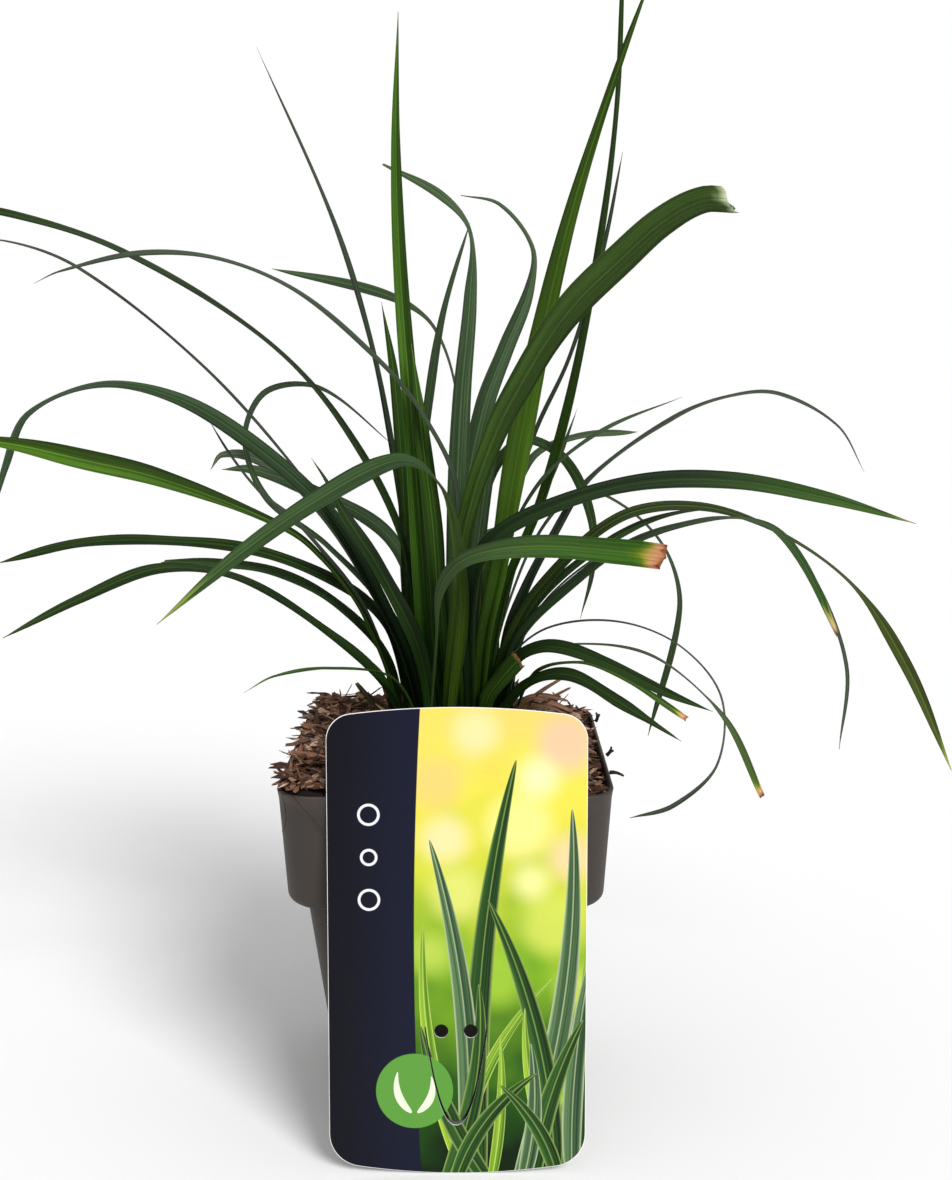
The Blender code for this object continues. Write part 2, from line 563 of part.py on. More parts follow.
def main():
    clear_scene()
    parts = new_collection("carex_sedge_in_pot")
    cutters = new_collection("cutters")
    build_pot(parts, cutters)
    build_soil(parts)
    build_crown(parts)
    build_mulch(parts)
    build_label(parts)
    build_blades(parts)


main()
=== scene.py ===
"""A young carex sedge in its square nursery pot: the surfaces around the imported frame.

Tables and sizes are in millimetres, and MM turns them into metres. +Z is up, the label faces -Y,
and the frame gives the places of the pot, the soil and the label.
"""
import math

import bpy
import numpy as np
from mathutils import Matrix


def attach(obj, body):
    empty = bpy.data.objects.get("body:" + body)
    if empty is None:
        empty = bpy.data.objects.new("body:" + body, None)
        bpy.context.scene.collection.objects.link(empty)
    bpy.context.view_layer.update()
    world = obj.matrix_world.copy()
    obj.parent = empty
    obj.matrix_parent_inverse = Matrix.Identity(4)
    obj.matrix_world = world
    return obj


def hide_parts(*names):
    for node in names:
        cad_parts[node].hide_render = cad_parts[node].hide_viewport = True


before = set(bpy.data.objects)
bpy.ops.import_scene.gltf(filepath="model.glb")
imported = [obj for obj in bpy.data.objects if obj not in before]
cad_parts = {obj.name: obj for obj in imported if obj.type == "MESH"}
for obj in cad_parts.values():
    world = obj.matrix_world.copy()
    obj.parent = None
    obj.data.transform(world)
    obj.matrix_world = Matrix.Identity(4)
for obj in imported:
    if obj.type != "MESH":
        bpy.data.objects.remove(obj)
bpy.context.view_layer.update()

# Studio: a wide pale floor under one soft sun from the upper right in front, in a surround that
# gives more light from overhead than from the sides and looks white to the camera, which looks
# slightly down on the front.
MM = 0.001
FLOOR_REACH = 9.0
FLOOR_DROP = 0.2
FLOOR_GREY = 0.9
CAMERA_PLACE = (10.1, -487.0, 274.0)
CAMERA_DIP = 10.65
LENS = 42.86
SENSOR = 36.0
FARTHEST = 50.0
LIGHT_AT_HORIZON = 0.35
LIGHT_OVERHEAD = 0.7
LOOK_OF_SURROUND = 1.0
SUN_STRENGTH = 2.7
SUN_SPREAD = 24.0
SUN_TIP = 50.0
SUN_TURN = 32.0

camera = bpy.data.objects.new("camera", bpy.data.cameras.new("camera"))
camera.data.lens = LENS
camera.data.sensor_width = SENSOR
camera.data.clip_end = FARTHEST
camera.location = [value * MM for value in CAMERA_PLACE]
camera.rotation_euler = (math.radians(90.0 - CAMERA_DIP), 0.0, 0.0)
bpy.context.scene.collection.objects.link(camera)
bpy.context.scene.camera = camera
bpy.context.scene.view_settings.view_transform = "Standard"

world = bpy.data.worlds.new("pale_surround")
world.use_nodes = True
tree = world.node_tree
surround = tree.nodes["Background"]
surround.inputs["Color"].default_value = (1.0, 1.0, 1.0, 1.0)
way = tree.nodes.new("ShaderNodeSeparateXYZ")
tree.links.new(tree.nodes.new("ShaderNodeTexCoord").outputs["Generated"], way.inputs[0])
light = tree.nodes.new("ShaderNodeMapRange")
light.inputs["To Min"].default_value = LIGHT_AT_HORIZON
light.inputs["To Max"].default_value = LIGHT_OVERHEAD
tree.links.new(way.outputs[2], light.inputs["Value"])
seen = tree.nodes.new("ShaderNodeMapRange")
seen.inputs["To Max"].default_value = LOOK_OF_SURROUND
tree.links.new(tree.nodes.new("ShaderNodeLightPath").outputs["Is Camera Ray"],
               seen.inputs["Value"])
tree.links.new(light.outputs[0], seen.inputs["To Min"])
tree.links.new(seen.outputs[0], surround.inputs["Strength"])
bpy.context.scene.world = world

sun = bpy.data.objects.new("soft_sun", bpy.data.lights.new("soft_sun", "SUN"))
sun.data.energy = SUN_STRENGTH
sun.data.angle = math.radians(SUN_SPREAD)
sun.rotation_euler = (math.radians(SUN_TIP), 0.0, math.radians(SUN_TURN))
bpy.context.scene.collection.objects.link(sun)

floor_mesh = bpy.data.meshes.new("floor")
floor_mesh.from_pydata([(x * FLOOR_REACH, y * FLOOR_REACH, 0.0)
                        for x, y in ((-1, -1), (1, -1), (1, 1), (-1, 1))], [], [(0, 1, 2, 3)])
floor = bpy.data.objects.new("floor", floor_mesh)
floor.location = (0.0, 0.0, -FLOOR_DROP * MM)
bpy.context.scene.collection.objects.link(floor)
floor_paint = bpy.data.materials.new("pale_floor")
floor_paint.use_nodes = True
floor_shader = floor_paint.node_tree.nodes["Principled BSDF"]
floor_shader.inputs["Base Color"].default_value = (FLOOR_GREY, FLOOR_GREY, FLOOR_GREY, 1.0)
floor_shader.inputs["Roughness"].default_value = 0.95
floor_shader.inputs["Specular IOR Level"].default_value = 0.1
floor_mesh.materials.append(floor_paint)


# Pot: one thin moulding in dark brown plastic, a tapered square body under a deep collar, with
# drain holes and shallow water channels in its foot. The wall runs round the rim and back down.
POT_AROUND = 360
RIM_Z = 125.0
RIM_HALF = 55.2
RIM_CORNER = 12.0
COLLAR_FOOT_Z = 84.0
COLLAR_FOOT_HALF = 53.0
COLLAR_ROUND = 4.5
LEDGE_ROUND = 1.6
BODY_TOP_Z = 81.4
BODY_TOP_HALF = 46.8
BASE_HALF = 37.1
BASE_CORNER = 9.5
FOOT_ROUND = 2.2
WALL = 1.2
FLOOR_TOP = 1.35
PLAN_MIDDLE = 0.5
DRAINS = 8
DRAIN_RADIUS = 4.0
DRAIN_REACH = (22.0, 27.5)
CHANNEL_DEEP = 0.7
CHANNEL_HALF = 6.5
CHANNEL_REACH = 33.0
RING_AT = 25.0
RING_HALF = 3.4
CHANNEL_SLOPE = 1.6


def srgb(red, green, blue):
    """Linear colour of a screen colour: the power curve, or its straight part near black."""
    share = np.array((red, green, blue)) / 255.0
    linear = np.where(share > 0.04045, ((share + 0.055) / 1.055) ** 2.4, share / 12.92)
    return tuple(linear)


POT_BROWN = srgb(56, 50, 45)
POT_DUST = srgb(122, 112, 100)


def build_mesh(name, points, *groups, smooth=True):
    """Mesh object at the origin, from points in millimetres and arrays of corner numbers.

    A fan from each face's first corner sums six times the volume, and a negative sum means
    that the faces point inwards, so their corners are reversed.
    """
    sum_six = 0.0
    for group in groups:
        for corner in range(1, group.shape[1] - 1):
            first, near, far = (points[group[:, k]] for k in (0, corner, corner + 1))
            sum_six += np.einsum("ij,ij->", first, np.cross(near, far))
    if sum_six < 0:
        groups = [group[:, ::-1] for group in groups]
    sizes = np.concatenate([np.full(len(group), group.shape[1]) for group in groups])
    corners = np.concatenate([group.ravel() for group in groups])
    mesh = bpy.data.meshes.new(name)
    mesh.vertices.add(len(points))
    mesh.vertices.foreach_set("co", (points * MM).astype(np.float32).ravel())
    mesh.loops.add(len(corners))
    mesh.loops.foreach_set("vertex_index", corners.astype(np.int32))
    mesh.polygons.add(len(sizes))
    starts = np.concatenate(([0], np.cumsum(sizes)[:-1]))
    mesh.polygons.foreach_set("loop_start", starts.astype(np.int32))
    mesh.polygons.foreach_set("use_smooth", np.full(len(sizes), smooth))
    mesh.update(calc_edges=True)
    mesh.validate()
    made = bpy.data.objects.new(name, mesh)
    bpy.context.scene.collection.objects.link(made)
    return made


def grid_quads(rows, columns, around=True, first=0):
    """Corner numbers of the quads between rows of points, joined round where around is true."""
    spans = columns if around else columns - 1
    row, column = np.meshgrid(np.arange(rows - 1), np.arange(spans), indexing="ij")
    after = (column + 1) % columns
    low, high = row * columns, (row + 1) * columns
    return first + np.stack([low + column, low + after, high + after, high + column],
                            axis=-1).reshape(-1, 4)


def end_caps(rows, columns, first=0):
    """The two end faces of a tube of rings, turned the same way as its quads."""
    ring = np.arange(columns)
    return first + np.stack([ring[::-1], ring + (rows - 1) * columns])


def finish_piece(made, look, slot, *nodes):
    """Give a piece its material, let it ride, and let it stand for its nodes; the slot is not
    used.
    """
    made.data.materials.append(look)
    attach(made, "root")
    if nodes:
        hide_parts(*nodes)
    return made


def mark(made, name, values, kind="FLOAT"):
    """Store one value a point on a mesh, for its material to read."""
    layer = made.data.attributes.new(name, kind, "POINT")
    field = {"FLOAT": "value", "FLOAT_VECTOR": "vector", "FLOAT_COLOR": "color"}[kind]
    layer.data.foreach_set(field, np.asarray(values, np.float32).ravel())


class Value:
    """A socket of a look; + - * / and ** on it add Math nodes."""

    def __init__(self, look, socket):
        self.look, self.socket = look, socket

    def math(self, operation, *others):
        return self.look.node("Math", {"operation": operation}, [self, *others])

    def __add__(self, other):
        return self.math("ADD", other)

    def __sub__(self, other):
        return self.math("SUBTRACT", other)

    def __rsub__(self, other):
        return self.look.node("Math", {"operation": "SUBTRACT"}, [other, self])

    def __mul__(self, other):
        return self.math("MULTIPLY", other)

    def __truediv__(self, other):
        return self.math("DIVIDE", other)

    def __pow__(self, other):
        return self.math("POWER", other)

    __radd__ = __add__
    __rmul__ = __mul__


class Look:
    """A material in the making: node() adds any shader node and returns an output as a Value."""

    def __init__(self, name, roughness=0.5, specular=0.5, coat=0.0):
        self.material = bpy.data.materials.new(name)
        self.material.use_nodes = True
        self.tree = self.material.node_tree
        self.shader = self.tree.nodes["Principled BSDF"]
        self.shader.inputs["Roughness"].default_value = roughness
        self.shader.inputs["Specular IOR Level"].default_value = specular
        self.shader.inputs["Coat Weight"].default_value = coat

    def node(self, kind, settings=None, sockets=(), out=0):
        made = self.tree.nodes.new("ShaderNode" + kind)
        for key, value in (settings or {}).items():
            if key == "stops":
                while len(made.color_ramp.elements) < len(value):
                    made.color_ramp.elements.new(1.0)
                for stop, (place, colour) in zip(made.color_ramp.elements, value):
                    stop.position = place
                    stop.color = (*colour, 1.0)
            else:
                setattr(made, key, value)
        pairs = sockets.items() if isinstance(sockets, dict) else enumerate(sockets)
        for key, value in pairs:
            if isinstance(value, Value):
                self.tree.links.new(value.socket, made.inputs[key])
            else:
                made.inputs[key].default_value = value
        return Value(self, made.outputs[out])

    def read(self, name, out=2):
        """A stored value of the mesh: out 0 is its colour, 1 its vector and 2 its number."""
        return self.node("Attribute", {"attribute_name": name}, out=out)

    def place(self):
        """Where on the object a point lies, in metres."""
        return self.node("TexCoord", out=3)

    def noise(self, vector, scale, detail=3.0, roughness=0.5):
        return self.node("TexNoise", {}, {"Vector": vector, "Scale": scale, "Detail": detail,
                                          "Roughness": roughness})

    def band(self, value, low, high):
        """0 below low and 1 above high, with a smooth step between them."""
        return self.node("MapRange", {"interpolation_type": "SMOOTHSTEP"},
                         [value, low, high, 0.0, 1.0])

    def mix(self, share, first, second, blend="MIX"):
        """The first colour where share is 0 and the second where it is 1."""
        sockets = {0: share}
        for key, colour in ((6, first), (7, second)):
            sockets[key] = colour if isinstance(colour, Value) else (*colour, 1.0)
        return self.node("Mix", {"data_type": "RGBA", "blend_type": blend}, sockets, out=2)

    def shade(self, colour, amount):
        """A colour times a number that varies over the surface."""
        return self.node("VectorMath", {"operation": "SCALE"}, {0: colour, 3: amount})

    def parts(self, vector):
        """The three numbers of a vector."""
        split = self.node("SeparateXYZ", {}, [vector]).socket.node
        return [Value(self, split.outputs[axis]) for axis in range(3)]

    def join(self, *numbers):
        return self.node("CombineXYZ", {}, numbers)

    def feed(self, **inputs):
        """Link values into the shader: a name such as Base_Color stands for Base Color."""
        for name, value in inputs.items():
            self.tree.links.new(value.socket, self.shader.inputs[name.replace("_", " ")])

    def bump(self, height, distance, strength=1.0):
        normal = self.node("Bump", {}, {"Strength": strength, "Distance": distance,
                                        "Height": height})
        self.feed(Normal=normal)


def once_round(count):
    """Even angles once round, in radians."""
    return np.linspace(0.0, 2 * np.pi, count, endpoint=False)


def square_reach(angle, half, corner):
    """Distance from the middle to a round-cornered square's edge, in each direction.

    Along a flat it is half over the larger of cosine and sine; round a corner it is the far
    root of the circle of radius corner about the corner's centre.
    """
    c, s = np.abs(np.cos(angle)), np.abs(np.sin(angle))
    flat = half / np.maximum(c, s)
    inner = half - corner
    along = inner * (c + s)
    bent = along + np.sqrt(np.maximum(along ** 2 - 2 * inner ** 2 + corner ** 2, 0.0))
    return np.where(np.minimum(c, s) * flat > inner, bent, flat)


def arc(centre_x, centre_z, radius, start, stop, steps=7):
    """Points of an arc in the profile's plane, angles in degrees."""
    angle = np.radians(np.linspace(start, stop, steps))
    return np.stack([centre_x + radius * np.cos(angle), centre_z + radius * np.sin(angle)], 1)


def collar_half(z):
    """Outer half width of the collar at a height above its rounded foot."""
    share = (z - COLLAR_FOOT_Z - COLLAR_ROUND) / (RIM_Z - COLLAR_FOOT_Z - COLLAR_ROUND)
    return COLLAR_FOOT_HALF + (RIM_HALF - COLLAR_FOOT_HALF) * share


def pot_corner(half):
    """Corner radius of the outer wall, which grows with the half width."""
    return BASE_CORNER + (half - BASE_HALF) * (RIM_CORNER - BASE_CORNER) / (RIM_HALF - BASE_HALF)


lip = WALL / 2
outer_wall = np.concatenate([
    arc(BASE_HALF - FOOT_ROUND, FOOT_ROUND, FOOT_ROUND, -90, -4),
    [(BASE_HALF + (BODY_TOP_HALF - BASE_HALF) * step,
      FOOT_ROUND + (BODY_TOP_Z - FOOT_ROUND) * step) for step in np.linspace(0.08, 1.0, 12)],
    arc(BODY_TOP_HALF + LEDGE_ROUND, COLLAR_FOOT_Z - 1.5, LEDGE_ROUND, 180, 92, 5),
    arc(COLLAR_FOOT_HALF - COLLAR_ROUND, COLLAR_FOOT_Z + COLLAR_ROUND, COLLAR_ROUND, -88, 0, 9),
    [(collar_half(z), z) for z in np.linspace(92.0, RIM_Z - 3.4, 9)],
    arc(RIM_HALF - lip + 0.25, RIM_Z - lip, lip, -25, 180, 11)])
inner_wall = np.array([(collar_half(z) - WALL, z) for z in np.linspace(RIM_Z - 2.0, 90.0, 6)]
                      + [(COLLAR_FOOT_HALF - WALL - 1.5, COLLAR_FOOT_Z + 3.2),
                         (BODY_TOP_HALF - WALL, COLLAR_FOOT_Z + 0.8), (BASE_HALF - WALL, 3.0),
                         (BASE_HALF - WALL - 1.4, FLOOR_TOP)])
floor_out = np.array([(half, 0.0)
                      for half in np.linspace(PLAN_MIDDLE, BASE_HALF - FOOT_ROUND - 1, 26)])
floor_in = np.array([(half, FLOOR_TOP) for half in (26.0, 12.0, PLAN_MIDDLE)])
profile = np.concatenate([floor_out, outer_wall, inner_wall, floor_in])
angles = once_round(POT_AROUND)
corner_radius = np.minimum(pot_corner(profile[:, 0]), profile[:, 0] * 0.8)
reach = square_reach(angles[None, :], profile[:, :1], corner_radius[:, None])
pot_points = np.stack([reach * np.cos(angles), reach * np.sin(angles),
                       np.broadcast_to(profile[:, 1:], reach.shape)], axis=-1).reshape(-1, 3)

# The foot stands on four pads: a cross of channels and a ring between them lie higher.
under = pot_points[:, 2] < 0.01
side_x, side_y = np.abs(pot_points[:, 0]), np.abs(pot_points[:, 1])
channel = np.clip((CHANNEL_HALF - np.minimum(side_x, side_y)) / CHANNEL_SLOPE, 0.0, 1.0)
ring = np.clip((RING_HALF - np.abs(np.hypot(side_x, side_y) - RING_AT)) / CHANNEL_SLOPE, 0.0, 1.0)
inside = np.clip((CHANNEL_REACH - np.maximum(side_x, side_y)) / 2.0, 0.0, 1.0)
pot_points[:, 2] += np.where(under, CHANNEL_DEEP * np.maximum(channel, ring) * inside, 0.0)
rows = len(profile)
pot = build_mesh("nursery_pot", pot_points, grid_quads(rows, POT_AROUND),
                 end_caps(rows, POT_AROUND))


def tube_points(path, radius, sides):
    """Rings of points round a path: each ring lies square to the path's own direction."""
    along = np.gradient(path, axis=0)
    along /= np.linalg.norm(along, axis=1, keepdims=True)
    helper = np.where(np.abs(along[:, 2:]) > 0.9, (1.0, 0.0, 0.0), (0.0, 0.0, 1.0))
    first = np.cross(along, helper)
    first /= np.linalg.norm(first, axis=1, keepdims=True)
    second = np.cross(along, first)
    turn = once_round(sides)[None, :, None]
    radius = np.broadcast_to(radius, len(path))[:, None, None]
    ring = np.cos(turn) * first[:, None, :] + np.sin(turn) * second[:, None, :]
    return (path[:, None, :] + radius * ring).reshape(-1, 3)


def round_bar(name, path, radius, sides):
    """A closed bar along a path, round where it has many sides."""
    return build_mesh(name, tube_points(path, radius, sides), grid_quads(len(path), sides),
                      end_caps(len(path), sides))


def carve(made, cutters):
    """Cut the cutters out of a mesh for good and remove them."""
    for cutter in cutters:
        cut = made.modifiers.new("cut", "BOOLEAN")
        cut.operation = "DIFFERENCE"
        cut.object = cutter
    graph = bpy.context.evaluated_depsgraph_get()
    solid = bpy.data.meshes.new_from_object(made.evaluated_get(graph))
    made.modifiers.clear()
    made.data = solid
    for cutter in cutters:
        bpy.data.objects.remove(cutter, do_unlink=True)


drills = []
for number, angle in enumerate(once_round(DRAINS)):
    out = DRAIN_REACH[number % 2]
    x, y = out * math.cos(angle), out * math.sin(angle)
    bar = np.array([(x, y, -2.0), (x, y, 4.0)])
    drills.append(round_bar(f"drain_{number + 1}", bar, DRAIN_RADIUS, 28))
carve(pot, drills)

look = Look("pot_moulding", roughness=0.55, specular=0.3)
spot = look.place()
x, y, z = look.parts(spot)
clouds = look.noise(spot, 22.0, 4.0, 0.55)
streaks = look.noise(look.join(x * 260.0, y * 260.0, z * 9.0), 1.0, 3.0, 0.6)
grain = look.noise(spot, 2600.0, 2.0)
specks = look.band(look.noise(spot, 900.0, 2.0, 0.7), 0.66, 0.74)
splash = look.band(z, 0.118, 0.126) * look.band(clouds, 0.42, 0.62)
colour = look.shade(POT_BROWN, 0.86 + clouds * 0.18 + streaks * 0.12)
colour = look.mix(specks * 0.3 * look.band(clouds, 0.45, 0.7), colour, POT_DUST)
colour = look.mix(splash * 0.35, colour, POT_DUST)
look.feed(Base_Color=colour, Roughness=0.46 + clouds * 0.16 + streaks * 0.06)
look.bump(grain * 0.5 + streaks * 0.35 + clouds * 1.5, 0.00006, 0.7)
finish_piece(pot, look.material, "pot_plastic", "pot")


# Root ball: damp dark potting mix with pale grains, packed round the roots below the bark.
# It is seen only through the drain holes, so the frame's own solid stays and gets a finish.
look = Look("potting_mix", roughness=0.95, specular=0.2)
spot = look.place()
crumbs = look.noise(spot, 420.0, 5.0, 0.7)
grains = look.band(look.noise(spot, 700.0, 1.0), 0.68, 0.72)
colour = look.mix(crumbs, srgb(24, 18, 13), srgb(74, 58, 44))
look.feed(Base_Color=look.mix(grains, colour, srgb(160, 150, 132)))
look.bump(crumbs, 0.0012)
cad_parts["soil_root_ball"].data.materials.clear()
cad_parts["soil_root_ball"].data.materials.append(look.material)


# Mulch: shredded conifer bark, a loose heap of torn fibrous strips and a few broad flakes that
# fills the pot up to and over its rim, highest at the left and the back of the tuft.
CROWN_CENTRE = (3.0, 0.0)
CROWN_REACH = (24.0, 21.5)
CROWN_EASE = 1.5
BED_AROUND = 220
BED_BANDS = 34
BED_FOOT = 117.5
BED_MIDDLE = 130.0
BED_EDGE = 124.6
RISE_LEFT = 2.4
DIP_RIGHT = 3.6
RISE_BACK = 2.0
BED_LUMP = 1.3
LUMP_LONG = 11.0
INNER_CORNER = 10.8
SHRED_RINGS = 6
SHRED_SIDES = 6
LABEL_CLEAR = -54.6
BARK_TONES = ((70, 48, 38), (112, 78, 60), (146, 104, 80), (176, 134, 108), (206, 170, 144),
              (136, 122, 110), (84, 58, 46))
BARK_ODDS = (0.2, 0.2, 0.18, 0.13, 0.07, 0.08, 0.14)

# Each kind of chip: how many, limits of length, width and thickness, seed, limits of the height
# over the bed, how far out they lie, how steeply, and how far they may hang over the rim.
BARK_KINDS = (
    (1750, (5.0, 15.0), (0.6, 2.2), (0.4, 1.0), 11, (-1.2, 1.5), 0.97, 0.2, 3.6),
    (330, (6.0, 13.0), (2.2, 4.8), (0.6, 1.5), 23, (-0.6, 1.4), 0.92, 0.24, 1.5),
    (60, (11.0, 22.0), (0.4, 0.9), (0.3, 0.6), 37, (1.2, 3.0), 0.88, 0.35, 1.5),
)


def heap(x, y):
    """Height of the bed: a dome over the square, raised on the left and the back.

    The dome falls with the third power of the larger of |x| and |y| over the rim. The rises
    and the dip on the right grow with x or y over the rim, times that same share, squared
    for the dip.
    """
    out = np.maximum(np.abs(x), np.abs(y)) / RIM_HALF
    dome = BED_MIDDLE + (BED_EDGE - BED_MIDDLE) * out ** 3
    left = RISE_LEFT * np.clip(-x / RIM_HALF, 0, 1) * out
    right = DIP_RIGHT * np.clip(x / RIM_HALF, 0, 1) * out ** 2
    back = RISE_BACK * np.clip(y / RIM_HALF, 0, 1) * out
    return dome + (left - right) + back


def rough(x, y, seed, size):
    """Uneven ground: a sum of eight crossing sine waves, each weaker as it gets finer."""
    rng = np.random.default_rng(seed)
    total = np.zeros_like(x)
    for _ in range(8):
        wave = rng.uniform(0.6, 2.4) / size
        way = rng.uniform(0, 2 * np.pi)
        total += np.sin((x * np.cos(way) + y * np.sin(way)) * wave * 2 * np.pi
                        + rng.uniform(0, 6.28)) / (1.0 + wave * size)
    return total / 2.6


def lumps(x, y):
    """How far the bed's uneven ground lies above or below the even heap."""
    return BED_LUMP * rough(x, y, 4, LUMP_LONG)


angles = once_round(BED_AROUND)
share = np.linspace(0.0, 1.0, BED_BANDS)[:, None]
edge = square_reach(angles, collar_half(BED_EDGE) - WALL - 0.25, INNER_CORNER)
start_x = CROWN_CENTRE[0] + (CROWN_REACH[0] - 5.0) * np.cos(angles)
start_y = CROWN_CENTRE[1] + (CROWN_REACH[1] - 5.0) * np.sin(angles)
bed_x = start_x + (edge * np.cos(angles) - start_x) * share
bed_y = start_y + (edge * np.sin(angles) - start_y) * share
bed_z = heap(bed_x, bed_y) - 1.6 + lumps(bed_x, bed_y)
bed_z = np.where(share > 0.97, np.minimum(bed_z, RIM_Z - 1.0), bed_z)
foot = square_reach(angles, collar_half(BED_FOOT) - WALL - 0.3, INNER_CORNER)
low_ring = np.stack([foot * np.cos(angles), foot * np.sin(angles),
                     np.full(BED_AROUND, BED_FOOT)], axis=1)
inner_ring = np.stack([start_x, start_y, np.full(BED_AROUND, BED_FOOT)], axis=1)
bed_top = np.stack([bed_x, bed_y, bed_z], axis=-1).reshape(-1, 3)
bed_points = np.concatenate([inner_ring, bed_top, low_ring])
bed_quads = grid_quads(BED_BANDS + 2, BED_AROUND)
ring = np.arange(BED_AROUND)
after = (ring + 1) % BED_AROUND
last = (BED_BANDS + 1) * BED_AROUND
bed_floor = np.stack([last + ring, last + after, after, ring], axis=1)


def scatter(count, seed, spread):
    """Places on the bed, spread evenly and at random between the crown and the wall."""
    rng = np.random.default_rng(seed)
    x = rng.uniform(-RIM_HALF, RIM_HALF, count * 3) * spread
    y = rng.uniform(-RIM_HALF, RIM_HALF, count * 3) * spread
    tuft = np.hypot((x - CROWN_CENTRE[0]) / (CROWN_REACH[0] + CROWN_EASE),
                    (y - CROWN_CENTRE[1]) / (CROWN_REACH[1] + CROWN_EASE))
    keep = tuft > 0.93
    return x[keep][:count], y[keep][:count]


def turned(first, second, angle):
    """Two of a point's coordinates after a turn of their plane."""
    return (first * np.cos(angle) - second * np.sin(angle),
            first * np.sin(angle) + second * np.cos(angle))


def splinters(place, length, width, thick, yaw, pitch, roll, bend, seed):
    """Torn strips: rings of a few points along a bent line, ragged and narrow at both ends.

    Each strip is built along X: its middle line rises by bend times the square of the place
    along it, its section shrinks near the ends as 1.45 less the fourth power of that place,
    and each point is pushed out or in by a random share. It is then rolled, pitched, turned
    and put in place.
    """
    rng = np.random.default_rng(seed)
    count = len(length)
    length, width, thick, yaw, pitch, roll, bend = (
        each[:, None, None] for each in (length, width, thick, yaw, pitch, roll, bend))
    run = np.linspace(-1.0, 1.0, SHRED_RINGS)[None, :, None]
    turn = once_round(SHRED_SIDES)[None, None, :]
    shape = np.clip(1.45 - run ** 4, 0.4, 1.0)
    shape = shape * rng.uniform(0.72, 1.25, (count, SHRED_RINGS, 1))
    jag = rng.uniform(0.75, 1.3, (count, SHRED_RINGS, SHRED_SIDES))
    tear = rng.uniform(-0.16, 0.16, (count, SHRED_RINGS, SHRED_SIDES)) * (np.abs(run) > 0.9)
    along = (run + tear) * length / 2
    drift = rng.uniform(-0.25, 0.25, (count, SHRED_RINGS, 1)) * width
    side = np.cos(turn) * shape * jag * width / 2 + drift
    up = np.sin(turn) * shape * jag * thick / 2
    up = up + bend * run ** 2 * length / 2
    side, up = turned(side, up, rng.uniform(-0.6, 0.6, (count, 1, 1)) * run + roll)
    along, up = turned(along, up, pitch)
    points = np.stack([*turned(along, side, yaw), up], axis=-1) + place[:, None, None]
    quads = grid_quads(SHRED_RINGS, SHRED_SIDES)
    caps = end_caps(SHRED_RINGS, SHRED_SIDES)
    offset = (np.arange(count) * SHRED_RINGS * SHRED_SIDES)[:, None, None]
    grain = np.stack(np.broadcast_arrays(run * length / 2, np.cos(turn) * width / 2,
                                         rng.uniform(0, 90, (count, 1, 1))), axis=-1)
    return (points.reshape(-1, 3), (quads[None] + offset).reshape(-1, 4),
            (caps[None] + offset).reshape(-1, SHRED_SIDES), grain.reshape(-1, 3))


def bark_batch(count, lengths, widths, thicks, seed, lift, spread, steep):
    """One kind of chip strewn over the bed, with sizes drawn evenly between two limits."""
    rng = np.random.default_rng(seed)
    x, y = scatter(count, seed + 1, spread)
    count = len(x)
    length = rng.uniform(*lengths, count)
    height = heap(x, y) + lumps(x, y) + rng.uniform(*lift, count)
    return splinters(np.stack([x, y, height], axis=1), length, rng.uniform(*widths, count),
                     rng.uniform(*thicks, count), rng.uniform(0, 2 * np.pi, count),
                     rng.normal(0, steep, count), rng.normal(0, 0.45, count),
                     rng.normal(0, 0.07, count), seed + 2)


def confine(points, overhang):
    """Keep chips inside the wall below the rim, off the label, and near the rim above it."""
    radius = np.hypot(points[:, 0], points[:, 1])
    angle = np.arctan2(points[:, 1], points[:, 0])
    inside = square_reach(angle, collar_half(points[:, 2]) - WALL - 0.4, INNER_CORNER)
    bulge = RIM_HALF + overhang + 2.0 * np.clip(-points[:, 0] / RIM_HALF, 0, 1)
    outside = square_reach(angle, bulge, RIM_CORNER)
    limit = np.where(points[:, 2] > RIM_Z + 0.2, outside, inside)
    scale = np.minimum(1.0, limit / np.maximum(radius, 1.0))
    points[:, 0] *= scale
    points[:, 1] *= scale
    points[:, 1] = np.maximum(points[:, 1], LABEL_CLEAR)
    return points


def deal_tones(own, spread, draws, tones, odds, rng):
    """A colour for each point: its chip's own number picks one of many draws of a tone."""
    chance = rng.choice(len(tones), draws, p=odds)
    palette = np.array([srgb(*tone) for tone in tones])
    return palette[chance[(own * spread).astype(int) % draws]]


def mark_colour(made, name, colours):
    """Store one solid colour a point on a mesh."""
    solid = np.concatenate([colours, np.ones((len(colours), 1))], axis=1)
    mark(made, name, solid, "FLOAT_COLOR")


points, corners_four, corners_six, grains = [bed_points], [bed_quads, bed_floor], [], [
    np.stack([bed_points[:, 0], bed_points[:, 1], np.full(len(bed_points), 3.0)], axis=1)]
base = len(bed_points)
for *kind, overhang in BARK_KINDS:
    made, quads, caps, grain = bark_batch(*kind)
    points.append(confine(made, overhang))
    corners_four.append(quads + base)
    corners_six.append(caps + base)
    grains.append(grain)
    base += len(made)
points = np.concatenate(points)
mulch = build_mesh("bark_bed", points, np.concatenate(corners_four),
                   np.concatenate(corners_six), smooth=False)
grains = np.concatenate(grains)
mark(mulch, "grain", grains, "FLOAT_VECTOR")
colour = deal_tones(grains[:, 2], 43.7, 4000, BARK_TONES, BARK_ODDS, np.random.default_rng(77))
# The bed under the chips is painted near-black: painted shade in the gaps between the chips.
colour[:len(bed_points)] = srgb(30, 20, 14)
mark_colour(mulch, "tone", colour)

